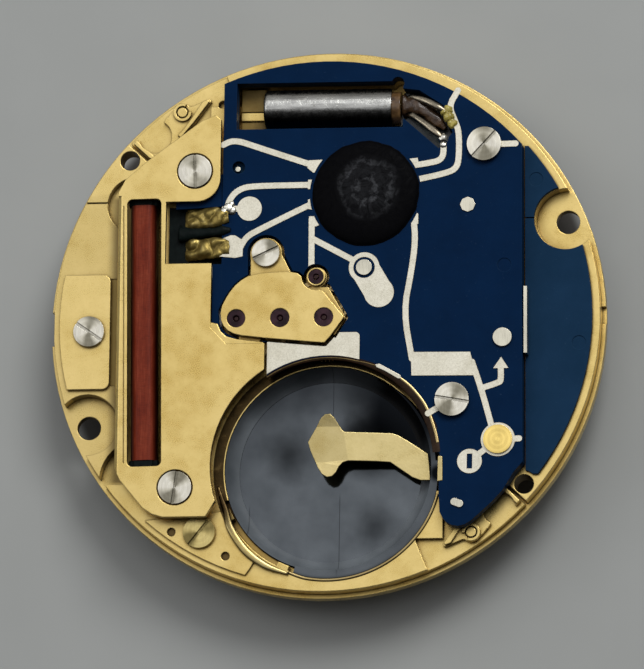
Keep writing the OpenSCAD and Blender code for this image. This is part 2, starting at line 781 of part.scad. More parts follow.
module coil_bobbin() {
    color("#4a4a48") for (y = [coil_low - cheek_t, coil_high]) {
        around_core(coil_w + 0.15, cheek_h, y, y + cheek_t, 0.1);
        around_core(core_w + 0.2, coil_h - 0.1, y, y + cheek_t, 0.05);
    }
}
module coil_winding() {
    color("#7c2a22") around_core(coil_w, coil_h, coil_low, coil_high, 0.45);
}
module coil_terminals() {
    color("#2c3330") slab(core_z, 0.2) box2(window_x + 0.05, window_y[0] + 0.15, -4.95, window_y[1] - 0.1);
}
// Two foils that rise from the terminal strip to the board's tracks
module foils(t) {
    for (y = foil_y) translate([0, y + foil_w, 0]) rotate([90, 0, 0]) linear_extrude(foil_w)
        run_of(foil_path, t);
}
module terminal_foils() {
    color("#a08a3a") foils(foil_t);
}
module cover_outline() {
    difference() {
        union() {
            polygon([[cover_left, -7], [-9.45, -7.6], [-8.35, -8.95], [-7.9, -9.25], [-7.4, -9.4], [-5.4, -9.4],
                     [-2.75, -5], [-2.75, -1.2], [-4.55, -1.2], [-5.3, -0.4], [-5.3, window_y[0]],
                     [window_x, window_y[0]], [window_x, window_y[1]], [cover_right - 1.1, window_y[1]],
                     [cover_right, window_y[1] + 1.1], [cover_right, 9.5], [-5.2, 9.72], [-5.85, 9.45],
                     [-8.35, 7.6], [-9.4, 6.7], [cover_left, 6.1]]);
            disc([cover_right - 1.1, window_y[1] + 1.1], 1.1);
        }
        disc(well_p, well_r + 0.55);
        leaning() rounded(slot_x[0], slot_y[0], slot_x[1], slot_y[1], slot_corner);
    }
}
module coil_cover() {
    color(gold) difference() {
        union() {
            slab(cover_z, cover_t) cover_outline();
            for (p = cover_screw_p) rod(p, cover_boss_r, core_z + iron_t, cover_z - core_z - iron_t + cover_t / 2);
        }
        for (p = cover_screw_p) {
            rod(p, cover_screw_r + 0.07, cover_seat_z, 1);
            rod(p, shank_r + hole_fit, plate_h, 2);
        }
        translate([cover_left, -8, cover_top - 0.12]) rotate([0, -38, 0]) translate([-1, 0, 0]) cube([1.3, 13.9, 1]);
        slab(cover_top - fold_depth, over) leaning()
            box2(slot_x[0] - fold_gap - fold_w, coil_low - 0.2, slot_x[0] - fold_gap, coil_high - 0.1);
    }
}
module cover_screws() {
    color(steel) for (i = [0, 1])
        screw(cover_screw_p[i], cover_screw_r, cover_seat_z, cover_head_h, cover_screw_a[i], shank_r - thread_fit,
              cover_seat_z - cover_screw_low);
}

// Wheels of the train: each toothed wheel and the steel pinion and arbor that carries it
module wheel(p, z, n, m, turn, seat, hub, spokes) {
    color(brass) at(p) slab(z, wheel_t) spoked(n, m, wheel_share, wheel_head, turn, seat, hub, spokes);
}
module leaves(p, z, h, n, m, turn) {
    at(p) slab(z, h) polygon(gear_points(n, m, leaf_share, leaf_head, turn));
}
// An arbor with a pivot at each end and a seat for its wheel
module arbor(p, z_low, z_high, wheel_z) {
    rod(p, pivot_r, z_low, z_high - z_low);
    rod(p, arbor_r, train_z + end_play, bridge_z - train_z - 2 * end_play);
    rod(p, seat_r, wheel_z, wheel_t);
}
module rotor_magnet() {
    color("#6e6a66") at(rotor_p) translate([0, 0, stator_z + end_play / 2]) difference() {
        cylinder(r = magnet_r, h = iron_t - end_play);
        translate([0, 0, -over]) cylinder(r = arbor_r, h = 1);
    }
}
module rotor_pinion() {
    color(steel) {
        rod(rotor_p, pivot_r, pivot_low, pivot_high - pivot_low);
        rod(rotor_p, arbor_r, train_z + end_play, bridge_z - train_z - 2 * end_play);
        leaves(rotor_p, rotor_gear_z - pinion_low, pinion_h, rotor_n, rotor_m, tooth_at(0));
    }
}
module intermediate_wheel() {
    wheel(inter_p, inter_z, inter_n, rotor_m, gap_at(180, inter_n), seat_r, hub_r, 4);
}
module intermediate_pinion() {
    color(steel) {
        arbor(inter_p, pivot_low, pivot_high, inter_z);
        leaves(inter_p, seconds_z - pinion_low, pinion_h, inter_leaves, inter_m, tooth_at(0));
    }
}
module seconds_wheel() {
    wheel(hand_p, seconds_z, seconds_n, inter_m, gap_at(180, seconds_n), seat_r, hub_r, 4);
}
module seconds_arbor() {
    tip = -hour_out - minute_out - second_out;
    color(steel) {
        rod(hand_p, second_r, tip, pivot_high - tip);
        rod(hand_p, arbor_r, third_z - pinion_low, bridge_z - end_play - third_z + pinion_low);
        rod(hand_p, seat_r, seconds_z, wheel_t);
        leaves(hand_p, third_z - pinion_low, pinion_h, seconds_leaves, seconds_m,
               tooth_at(toward(hand_p, third_p)));
    }
}
module third_wheel() {
    wheel(third_p, third_z, third_n, seconds_m, gap_at(toward(third_p, hand_p), third_n), seat_r, hub_r, 4);
}
module third_pinion() {
    color(steel) {
        arbor(third_p, pivot_low, third_boss_z - end_play, third_z);
        leaves(third_p, centre_z - pinion_low, pinion_h, third_leaves, third_m,
               tooth_at(toward(third_p, hand_p)));
    }
}
module centre_wheel() {
    wheel(hand_p, centre_z, centre_n, third_m, gap_at(toward(hand_p, third_p), centre_n), tube_shoulder_r,
          centre_hub_r, 5);
}
module centre_arbor() {
    color(steel) difference() {
        union() {
            rod(hand_p, tube_r, -hour_out - minute_out + 0.1,
                hour_out + minute_out - 0.1 + centre_z + wheel_t + end_play);
            rod(hand_p, tube_shoulder_r, train_z + 0.03, centre_z + wheel_t - train_z - 0.03);
        }
        rod(hand_p, tube_bore, -3, 6);
    }
}
module centre_bush() {
    color(brass) at(hand_p) translate([0, 0, motion_z]) difference() {
        cylinder(r = bush_r, h = train_web);
        translate([0, 0, -over]) cylinder(r = tube_r + run, h = 1);
    }
}
module plate_jewels() {
    color(ruby) for (p = [rotor_p, inter_p, third_p]) jewel(p, jewel_seat_r, motion_z + 0.02, plate_jewel_t);
}
module bridge_jewels() {
    color(ruby) {
        for (i = [0 : 2]) jewel(bridge_jewel_p[i], bridge_jewel_r[i], bridge_jewel_z, jewel_t);
        jewel(third_p, third_jewel_r, third_jewel_z, jewel_t);
    }
}

// Train bridge: an upper plate over the four wheels, on a lower one with the screw's tab and a foot
module bridge_upper() {
    difference() {
        polygon(round_ring(bridge_outline));
        disc(third_p, third_lobe_r);
    }
}
module bridge_lower() {
    bridge_upper();
    disc(bridge_screw_p, bridge_tab_r);
    disc(third_p, third_boss_r + 0.06);
    disc(bridge_foot_p, bridge_foot_r + 0.1);
    polygon([[-3.5, 3], [-3.5, 1.8], [-1.5, 2], [-2.05, 3.1]]);
    polygon([[-1.2, 1.5], [-0.5, -0.5], [0.5, -0.8], [0.99, 0], [0.96, 0.1], [0.15, 1.5]]);
    bar([-3.5, -0.4], bridge_foot_p, 1);
}
module train_bridge() {
    color(gold) difference() {
        union() {
            slab(bridge_z, bridge_step_z - bridge_z) bridge_lower();
            slab(bridge_step_z - over, cover_top - bridge_step_z + over) bridge_upper();
            rod(third_p, third_boss_r, bridge_z, third_boss_z - bridge_z);
        }
        for (i = [0 : 2]) jewel_hole(bridge_jewel_p[i], bridge_jewel_r[i], bridge_jewel_z);
        jewel_hole(third_p, third_jewel_r, third_jewel_z);
        rod(bridge_screw_p, bridge_shank_r + hole_fit, bridge_z - over, 1);
    }
}
module jewel_hole(p, r, z) {
    rod(p, r, z, 1);
    rod(p, seat_r, bridge_z - over, 1);
}
module bridge_screw() {
    color(steel) screw(bridge_screw_p, bridge_screw_r, bridge_step_z, head_h, bridge_screw_a,
        bridge_shank_r - gap / 2, bridge_step_z - plate_h + bridge_screw_in);
}

// Motion work on the dial side
module cannon_pinion() {
    low = -hour_out - minute_out;
    color(steel) difference() {
        union() {
            rod(hand_p, minute_r, low, minute_out);
            translate([0, 0, -hour_out])
                cylinder(r1 = minute_r + 0.01, r2 = minute_r + 0.03, h = hour_out + minute_gear_z - 0.03);
            leaves(hand_p, minute_gear_z - 0.04, wheel_t + 0.05, cannon_n, motion_m, tooth_at(minute_a));
        }
        rod(hand_p, tube_r + 0.02, low - over, 3);
    }
}
module minute_wheel() {
    wheel(minute_p, minute_gear_z, minute_n, motion_m, minute_turn, post_r + run + 0.1, post_hub_r, 3);
}
module minute_pinion() {
    color(steel) difference() {
        union() {
            rod(minute_p, post_r + run + 0.1, hour_gear_z, minute_gear_z + wheel_t - hour_gear_z);
            leaves(minute_p, hour_gear_z, minute_gear_z - 0.03 - hour_gear_z, minute_leaves, motion_m,
                   tooth_at(minute_a + 180));
        }
        rod(minute_p, post_r / 2 + run, 0, 1);
    }
}
module hour_wheel() {
    color(brass) difference() {
        union() {
            rod(hand_p, hour_r, -hour_out, hour_out + over);
            rod(hand_p, hour_shoulder_r, 0, minute_gear_z - 0.06);
            slab(hour_gear_z, hour_gear_t)
                polygon(gear_points(hour_n, motion_m, wheel_share, wheel_head, hour_turn));
        }
        rod(hand_p, minute_r + 0.08, -hour_out - over, 3);
    }
}
// This wheel meshes two others of the wheel form, so its own teeth have the leaf form
module setting_wheel() {
    color(brass) at(setting_p) slab(minute_gear_z, wheel_t)
        spoked(setting_n, motion_m, leaf_share, leaf_head, setting_turn, post_r / 2 + run, post_hub_r, 4);
}
module stem_setting_wheel() {
    wheel(stem_setting_p, minute_gear_z, stem_setting_n, motion_m, stem_setting_turn, post_r / 2 + run,
          post_hub_r, 4);
}
module wheel_posts() {
    color(steel) {
        for (p = [minute_p, setting_p, stem_setting_p]) {
            rod(p, post_r / 2, guard_t + 0.02, motion_z - guard_t);
            rod(p, post_r, motion_z, post_in);
        }
        rod(date_drive_p, post_r, guard_t + 0.02, calendar_z + date_post_in - guard_t - 0.02);
        rod(jumper_p, post_r, guard_t + 0.02, calendar_z + date_post_in - guard_t - 0.02);
    }
}
module date_driving_wheel() {
    color(brass) at(date_drive_p) difference() {
        union() {
            slab(hour_gear_z, hour_gear_t)
                spoked(date_drive_n, motion_m, leaf_share, leaf_head, date_drive_turn, post_r, 1.2, 4);
            slab(hour_gear_z, date_flange_z + date_flange_t - hour_gear_z) circle(r = 0.7);
            slab(date_flange_z + date_flange_t - finger_t, finger_t)
                polygon([polar(0.6, 100), polar(finger_r, 178), polar(finger_r, 182), polar(0.6, 260)]);
        }
        translate([0, 0, -1]) cylinder(r = post_r + run, h = 2);
    }
}
module date_ring() {
    color("#e8e6de") difference() {
        union() {
            slab(ring_face, ring_t) disc(hand_p, ring_r);
        }
        slab(0, date_flange_z) disc(hand_p, guard_r);
        slab(0, 1) polygon([for (i = [0 : date_n - 1]) for (c = [[date_tip_r, -1], [date_tip_r, 1],
            [date_root_r, 4], [date_root_r, 360 / date_n - 4]]) polar(c[0], i * 360 / date_n + c[1])]);
    }
}
module date_jumper() {
    color(steel) slab(date_flange_z, date_flange_t) difference() {
        union() {
            disc(jumper_p, jumper_r);
            bar(jumper_p, jumper_nose_p, 0.2);
            disc(jumper_nose_p, 0.2);
        }
        disc(jumper_p, post_r + 0.01);
    }
}
module date_guard() {
    color(steel) difference() {
        slab(0, guard_t) difference() {
            disc(hand_p, guard_r - gap);
            disc(hand_p, hour_shoulder_r + 0.08);
        }
        for (p = guard_screw_p) guard_screw_body(p, 0.01, 1);
    }
}
module guard_screws() {
    color(steel) for (p = guard_screw_p) difference() {
        guard_screw_body(p, 0, guard_screw_in);
        translate([p[0], p[1], 0]) rotate(30) translate([-1, -0.06, -over]) cube([2, 0.12, over + 0.08]);
    }
}

// Keyless work round the stem's place
module sliding_pinion() {
    l = pinion_x[1] - pinion_x[0];
    teeth = pinion_collar + pinion_groove;
    color(steel) translate([pinion_x[0], 0, stem_z]) rotate([0, 90, 0]) difference() {
        union() {
            cylinder(r = pinion_r * 0.7, h = l);
            cylinder(r = pinion_r, h = pinion_collar);
            translate([0, 0, teeth]) cylinder(r = pinion_r, h = l - teeth);
        }
        translate([-pinion_square / 2, -pinion_square / 2, -over]) cube([pinion_square, pinion_square, l + 2 * over]);
        for (i = [0 : pinion_teeth - 1]) rotate(i * 360 / pinion_teeth) translate([0, -0.045, l - 0.12])
            cube([pinion_r + over, 0.09, 0.2]);
    }
}
module yoke() {
    x = pinion_x[0] + pinion_collar + pinion_groove / 2;
    color(steel) difference() {
        slab(lever_z, keyless_t) {
            disc(yoke_p, lever_eye_r);
            bar(yoke_p, [x, 0.7], lever_eye_r);
            bar([x, 0.8], [x, 0.1], 0.1);
        }
        rod(yoke_p, keyless_post_r + run, 0, 3);
    }
}
module setting_lever() {
    color(steel) difference() {
        slab(lever_z, keyless_t) {
            disc(lever_p, lever_eye_r);
            bar(lever_p, [-11.52, -0.95], 0.26);
            bar([-11.52, -1], [-11.52, -0.45], 0.18);
            bar(lever_p, stud_p, 0.3);
            disc(stud_p, stud_r);
        }
        rod(lever_p, keyless_post_r + run, 0, 3);
    }
}
module keyless_posts() {
    color(steel) for (p = [yoke_p, lever_p]) {
        rod(p, keyless_post_r, keyless_z, plate_h - keyless_z);
        rod(p, 0.25, keyless_z, lever_z - keyless_z - 0.02);
    }
}
module stem_plate() {
    color(gold) slab(plate_h, stem_plate_t) difference() {
        intersection() {
            circle(r = case_r - 0.3);
            rounded(-12.6, -3.1, cover_left - 0.42, 2.35, stem_plate_corner);
        }
        disc(stem_screw_p, stem_shank_r + thread_fit / 2);
    }
}
module stem_plate_screw() {
    z = plate_h + stem_plate_t;
    color(steel) screw(stem_screw_p, stem_screw_r, z, head_h, stem_screw_a, stem_shank_r - thread_fit / 2,
        stem_plate_t + stem_screw_in - thread_fit / 2);
}

// Clamps for the dial feet: the lower one is the upper one turned half round the hand axis
module clamp() {
    difference() {
        union() {
            slab(clamp_z, clamp_t) clamp_shape();
            slab(clamp_z + clamp_t - 0.05, clamp_rise + 0.05) clamp_raised();
        }
        rod(clamp_pin_p, clamp_pin_r + gap, 0, 3);
    }
}
// Raised parts of a clamp: an open ring round the pin, a blade, and the end by the foot's hole
module clamp_raised() {
    difference() {
        disc(clamp_pin_p, clamp_pad_r - 0.01);
        translate(clamp_pin_p) polygon([[0, 0], polar(1, 5), polar(1, 65)]);
    }
    polygon(clamp_blade);
    intersection() {
        clamp_shape();
        rotate(clamp_a[1]) translate([11.4, -clamp_slit / 2 - 0.25]) square([1.3, 0.2]);
    }
}
module dial_clamp_upper() { color(gold) clamp(); }
module dial_clamp_lower() { color(gold) rotate(180) clamp(); }
module dial_clamp_pins() {
    color(gold) for (a = [0, 180]) rotate(a) rod(clamp_pin_p, clamp_pin_r, clamp_floor, clamp_t + clamp_rise);
}

// Circuit
// The board's right edge leans like the coil
function board_edge(y) = board_right - y * tan(coil_lean);
module board_outline(r) {
    difference() {
        intersection() {
            disc(hand_p, r);
            union() {
                polygon([[board_left, 0], [board_edge(0), 0], [board_edge(20), 20], [board_left, 20]]);
                polygon(board_low);
            }
        }
        disc(well_p, well_r + 0.28);
    }
}
module support_outline() {
    board_outline(board_r);
    difference() {
        intersection() {
            disc(hand_p, case_r - 0.35);
            polygon([[board_edge(-7.4) + seam_w, -7.4], [13, -7.4], [13, 8.2], [board_edge(8.2) + seam_w, 8.2]]);
        }
        disc(feet[1], foot_r + 0.15);
        box2(0, fixes[0][1], fixes[0][0], fixes[0][1] + seam_w);
    }
}
module board_holes() {
    quartz_pocket();
    disc(fixes[0], 1.5);
}
module support_holes() {
    board_holes();
    disc(hand_p, seconds_tip + turning_room);
    disc(inter_p, inter_tip + turning_room);
    disc(bridge_screw_p, 0.85);
    disc(third_p, 0.8);
    for (p = board_screw_p) disc(p, board_shank_r);
    disc(cover_screw_p[0], 1.05);
}
module module_support() {
    color("#1d4a7a") difference() {
        union() {
            slab(plate_h, carrier_t) support_outline();
            slab(plate_h, board_z - plate_h) board_outline(board_r);
        }
        slab(plate_h - over, 2) {
            support_holes();
            box2(-6, -3, -2.2, 2.6);
        }
        slab(plate_h - over, 0.1 + over) box2(-5.5, 2, -4.5, 7);
        slab(plate_h - over, clamp_rise + 0.15 + over) rotate(180) clamp_recess();
        for (p = carrier_dimple_p) rod(p, dimple_r, plate_h + carrier_t - dimple, 1);
    }
}
module circuit_board() {
    color(blue) difference() {
        slab(board_z, board_t) difference() {
            board_outline(board_r);
            board_holes();
            offset(delta = 0.12) bridge_lower();
            for (p = concat(board_screw_p, [small_pin_p])) disc(p, board_shank_r);
        }
        rod(board_dimple_p, dimple_r, board_top - dimple, 1);
    }
}
// Lines of the conductor tracks; their corners are rounded where they are drawn
tracks = [
    [[-4.85, 8.33], [-4.5, 8.5], [-4.1, 8.48], [-3.65, 8.33], [-2.66, 7.98], [-1, 7.41], [-0.4, 7.2]],
    [[-0.6, 6.35], [-3.5, 6.34], [-4.05, 6.2], [-4.45, 5.85], [-4.7, 5.2]],
    [[-4.75, 5.27], [-3.9, 5.26]],
    [[-0.5, 5.5], [-0.97, 5.3], [-3.19, 4.21], [-3.7, 3.92], [-4, 3.4]],
    [[-0.65, 4.7], [-0.63, 2.45]],
    [[-0.6, 3.78], [1.3, 2.74]],
    [[4.12, 4.75], [4.23, 3.6], [4.05, 2.1], [3.72, 0.25], [4.14, -2]],
    [[6.95, -2.2], [7.43, -3.56], [7.92, -5.3]],
    [[7.38, -3.47], [8.22, -3.2], [8.32, -3.1], [8.3, -2.4]],
    [[8.22, -5.9], [9.2, -5.87]],
    [[8.22, -5.9], [6.9, -6.91]],
    [[6.12, 10.75], [5.7, 10], [6, 9.3], [6.2, 8.75], [6.21, 7.5], [6.1, 7.05], [5.7, 6.82], [4, 6.47]],
    [[5.45, 8.55], [5.5, 7.75], [5.35, 7.45], [5, 7.33], [3.6, 7.13]],
    [[7.4, 8.14], [8.85, 8.17]],
    [[6.05, -4], [5.35, -4.36], [4.93, -4.62]]
];
// Wider ends where tracks run under the chip, the pad by the terminals and the wide lower track
track_pads = [
    [[-0.83, 7.52], [-0.89, 7.16], [-0.62, 6.93], [-0.1, 6.95], [-0.05, 7.55]],
    [[-0.86, 6.15], [-0.5, 6.12], [-0.5, 6.6], [-0.85, 6.6]],
    [[-0.84, 5.65], [-0.84, 5.2], [-0.56, 5.14], [-0.5, 5.72]],
    [[-0.78, 4.85], [-0.77, 4.36], [-0.45, 4.36], [-0.1, 4.5], [-0.3, 4.85]],
    [[3.83, 4.46], [4.35, 4.4], [4.34, 4.9], [4.1, 5]],
    [[3.62, 7.5], [3.9, 7], [4.35, 7.15], [4.28, 7.56]],
    [[-4.95, 3], [-4.22, 2.92], [-3.87, 2.99], [-3.85, 3.75], [-4.24, 4], [-4.45, 4], [-4.95, 3.8]],
    [[4.08, -1.69], [4.13, -2.81], [7.16, -2.84], [6.86, -1.72]],
    [[7.95, -2.52], [8.66, -2.52], [8.31, -1.98]]
];
module circuit_tracks() {
    color("#cfd0c8") slab(board_top, track_t) difference() {
        union() {
            for (t = tracks) run_of(round_run(round_run(t)), track_w);
            for (p = track_pads) polygon(p);
            for (p = ring_marks) disc(p, mark_r);
            run_of([upper_pin_p, [2.55, 1.17]], 1.35);
            disc(upper_pin_p, upper_pin_r + 0.35);
            disc(contact_disc_p, contact_disc_r + 0.12);
            difference() {
                rounded(-2.65, -3, 1.68, -0.7, 0.2);
                disc(well_p, well_r + 0.34);
            }
        }
        disc(upper_pin_p, upper_pin_r + 0.13);
        translate(ring_marks[1]) square([0.25, 0.7], center = true);
        disc(chip_p, chip_r + gap);
        for (p = board_screw_p) disc(p, 0.5);
        offset(delta = 0.14) bridge_lower();
        disc(contact_disc_p, contact_disc_r - 0.38);
    }
}
module contact_disc() {
    color("#e6c65c") rod(contact_disc_p, contact_disc_r, board_top + track_t, 0.12);
}
module contact_pins() {
    color(steel) {
        rod(upper_pin_p, upper_pin_r, board_top, 0.1);
        rod(lower_pin_p, lower_pin_r, board_top, 0.12);
        translate([eight_pin_p[0], eight_pin_p[1], board_top]) cylinder(r = eight_pin_r, h = 0.05, $fn = 8);
        rod(small_pin_p + [-0.05, -0.05], 0.12, board_z, board_t - 0.12);
        slab(board_top, 0.07) run_of([[6.22, -8.83], [6.46, -8.92]], 0.34);
        slab(plate_h + carrier_t, board_top - plate_h - carrier_t)
            polygon([[board_edge(-1.8) + gap, -1.8], [board_edge(-1.8) + gap + strip_w, -1.8],
                     [board_edge(1.38) + gap + strip_w, 1.38], [board_edge(1.38) + gap, 1.38]]);
    }
}
module chip_cap() {
    dome_r = (chip_r * chip_r + chip_h * chip_h) / (2 * chip_h);
    color("#191a1c") translate([chip_p[0], chip_p[1], board_top]) rotate_extrude() intersection() {
        translate([0, chip_h - dome_r]) circle(r = dome_r, $fn = 256);
        square([chip_r, chip_h]);
    }
}
module quartz_can() {
    color("#b9bab8") translate([quartz_x[0], quartz_c[1], quartz_z]) rotate([0, 90, 0]) rotate_extrude()
        intersection() {
            union() {
                translate([0, 0.2]) square([quartz_r, quartz_l - 0.2]);
                square([quartz_r - 0.2, 1]);
                translate([quartz_r - 0.2, 0.2]) circle(r = 0.2);
            }
            square([quartz_r, quartz_l]);
        }
}
module quartz_base() {
    color("#3a2a18") translate([quartz_x[1], quartz_c[1], quartz_z]) rotate([0, 90, 0])
        cylinder(r = quartz_r * 0.82, h = base_l);
}
module wire(points, r) {
    for (i = [0 : len(points) - 2]) {
        d = points[i + 1] - points[i];
        translate(points[i]) rotate([0, acos(d[2] / norm(d)), atan2(d[1], d[0])])
            cylinder(r = r, h = norm(d), $fn = 16);
    }
    for (i = [1 : len(points) - 2]) translate(points[i]) sphere(r = r * bend_swell);
}
module lead_wires(r) {
    z = board_top + track_t + lead_r + 0.03;
    x = quartz_x[1] + base_l;
    wire([[x, quartz_c[1] + 0.3, quartz_z], [x + 0.6, quartz_c[1] + 0.35, z], [5.6, 9.7, z]], r);
    wire([[x, quartz_c[1] - 0.3, quartz_z], [x + 0.6, quartz_c[1] - 0.55, z], [5.4, 8.4, z]], r);
}
module quartz_leads() {
    color(steel) lead_wires(lead_r);
}
module solder_joints() {
    color("#c9b23c") difference() {
        union() {
            for (i = [0 : len(solder_p) - 1]) solder(solder_p[i], solder_r[i]);
        }
        lead_wires(lead_r);
        foils(foil_t);
    }
}
module solder(p, r) {
    translate([p[0], p[1], board_top + track_t]) rotate_extrude() intersection() {
        circle(r = r, $fn = 32);
        square([r, solder_h]);
    }
}
module module_screws() {
    color(steel) for (i = [0, 1])
        screw(board_screw_p[i], board_screw_r, board_top + track_t, head_h, board_screw_a[i],
              board_shank_r - thread_fit, board_top + track_t - board_screw_low);
}

main_plate();
battery_insulator();
battery_spring();
positive_contact();
positive_contact_screw();
coil_core();
coil_bobbin();
coil_winding();
coil_terminals();
terminal_foils();
stator();
coil_cover();
cover_screws();
rotor_magnet();
rotor_pinion();
intermediate_wheel();
intermediate_pinion();
seconds_wheel();
seconds_arbor();
third_wheel();
third_pinion();
centre_wheel();
centre_arbor();
plate_jewels();
bridge_jewels();
centre_bush();
train_bridge();
bridge_screw();
cannon_pinion();
minute_wheel();
minute_pinion();
hour_wheel();
setting_wheel();
stem_setting_wheel();
wheel_posts();
date_driving_wheel();
date_ring();
date_jumper();
date_guard();
guard_screws();
sliding_pinion();
yoke();
setting_lever();
keyless_posts();
stem_plate();
stem_plate_screw();
dial_clamp_upper();
dial_clamp_lower();
dial_clamp_pins();
module_support();
circuit_board();
circuit_tracks();
contact_disc();
contact_pins();
chip_cap();
quartz_can();
quartz_base();
quartz_leads();
solder_joints();
module_screws();
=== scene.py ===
import json
import math

import bmesh
import bpy
from mathutils import Matrix, Vector, noise


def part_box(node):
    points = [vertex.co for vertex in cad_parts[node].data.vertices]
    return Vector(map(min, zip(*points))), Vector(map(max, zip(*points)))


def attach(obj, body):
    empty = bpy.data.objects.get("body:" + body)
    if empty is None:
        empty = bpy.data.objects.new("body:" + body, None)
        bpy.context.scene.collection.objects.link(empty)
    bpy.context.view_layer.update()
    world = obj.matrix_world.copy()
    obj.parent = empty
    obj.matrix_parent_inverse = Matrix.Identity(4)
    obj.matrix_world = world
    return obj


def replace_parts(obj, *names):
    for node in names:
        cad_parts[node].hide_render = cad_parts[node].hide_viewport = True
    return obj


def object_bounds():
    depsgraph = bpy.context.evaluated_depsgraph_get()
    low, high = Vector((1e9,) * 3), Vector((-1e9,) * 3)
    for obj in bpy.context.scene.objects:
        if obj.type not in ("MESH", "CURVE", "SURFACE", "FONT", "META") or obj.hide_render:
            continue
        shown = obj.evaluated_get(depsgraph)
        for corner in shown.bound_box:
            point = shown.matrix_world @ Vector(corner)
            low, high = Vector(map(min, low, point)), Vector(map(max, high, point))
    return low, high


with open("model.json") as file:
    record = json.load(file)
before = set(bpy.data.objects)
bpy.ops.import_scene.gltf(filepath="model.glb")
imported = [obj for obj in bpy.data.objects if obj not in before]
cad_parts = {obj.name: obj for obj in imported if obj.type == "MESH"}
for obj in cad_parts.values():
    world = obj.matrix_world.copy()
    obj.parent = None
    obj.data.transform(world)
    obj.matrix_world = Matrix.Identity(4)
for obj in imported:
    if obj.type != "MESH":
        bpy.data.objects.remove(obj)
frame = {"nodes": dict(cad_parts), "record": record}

cad_low, cad_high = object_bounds()
MM = 0.001
NODES = frame["nodes"]
slot_of = {row["node"]: row["material_slot"] for row in frame["record"]["subparts"]}


# Places that looks and pieces share, in millimetres
def middle_of(node):
    """The middle of a node's box."""
    low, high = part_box(node)
    return [(a + b) / 2 / MM for a, b in zip(low, high)]


# The plate: its middle, where its rim begins and where the flange does
PLATE_MIDDLE = (0, 0)
RIM_RADIUS, FLANGE_RADIUS = 11.7, 12.4
# Farther out than any point of the movement
BEYOND = 20
# The battery well in the plate: its axis, its wall's radii and heights, and those of the bright rim there
WELL = (0.2, -7.0)
WALL_RADII, WALL_Z = (4.7, 5.4), (0.2, 1.6)
BRIGHT_RIM_RADII, BRIGHT_RIM_Z = (4.8, 4.92), (1.17, 1.4)
# The wall of the board and its support round the well, where brown painted shade lies, and the circle inside
# which they get it too
BOARD_WALL_RADII, BOARD_WALL_Y, BOARD_WALL_Z = (4.9, 5.16), (-5.3, 0), (0.9, 2.2)
BOARD_WELL, BOARD_WELL_RADIUS = (0.47, -7.05), 5.22
CHIP = middle_of("chip_cap")
COVER_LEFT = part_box("coil_cover")[0].x / MM
COIL_LEAN = math.radians(0.9)
coil_middle = middle_of("coil_winding")
COIL_MIDDLE = coil_middle[0] + coil_middle[1] * math.tan(COIL_LEAN)


# Node trees
WHITE = (1, 1, 1)
# Sockets of a Mix node that mixes colours
MIX_A, MIX_B, MIX_RESULT = 6, 7, 2
# Rays for each point where a material looks round itself
NEAR_RAYS = 6


def opaque(colour):
    """A colour with its alpha; a socket stays as it is."""
    return colour if isinstance(colour, bpy.types.NodeSocket) else (*colour, 1)


class Tree:
    """Short ways to add nodes to a node tree."""

    def __init__(self, tree):
        self.tree = tree

    def node(self, kind, **settings):
        """A new node with its settings."""
        made = self.tree.nodes.new("ShaderNode" + kind)
        for key, value in settings.items():
            setattr(made, key, value)
        return made

    def put(self, socket, value):
        """Links a socket to another one, or sets it."""
        if isinstance(value, bpy.types.NodeSocket):
            self.tree.links.new(value, socket)
        else:
            socket.default_value = value

    def ramp(self, value, *stops):
        """A colour ramp; each stop is a place and a colour or a grey."""
        made = self.node("ValToRGB")
        self.put(made.inputs[0], value)
        elements = made.color_ramp.elements
        while len(elements) < len(stops):
            elements.new(0.5)
        for element, (place, colour) in zip(elements, stops):
            element.position = place
            grey = isinstance(colour, (int, float))
            element.color = (colour,) * 3 + (1,) if grey else (*colour, 1)
        return made.outputs[0]

    def math(self, kind, a, b=0.0, clamp=False):
        made = self.node("Math", operation=kind, use_clamp=clamp)
        self.put(made.inputs[0], a)
        self.put(made.inputs[1], b)
        return made.outputs[0]

    def times(self, first, *others):
        """The product of values."""
        for other in others:
            first = self.math("MULTIPLY", first, other)
        return first

    def total(self, *terms):
        """The sum of (value, weight) pairs."""
        parts = [value if weight == 1 else self.times(value, weight) for value, weight in terms]
        result = parts[0]
        for part in parts[1:]:
            result = self.math("ADD", result, part)
        return result

    def less(self, a, b):
        """What is left of a without b."""
        return self.math("SUBTRACT", a, b)

    def mix(self, share, a, b, blend="MIX"):
        """Colour a with b mixed into it by a share."""
        made = self.node("Mix", data_type="RGBA", blend_type=blend)
        self.put(made.inputs[0], share)
        self.put(made.inputs[MIX_A], opaque(a))
        self.put(made.inputs[MIX_B], opaque(b))
        return made.outputs[MIX_RESULT]


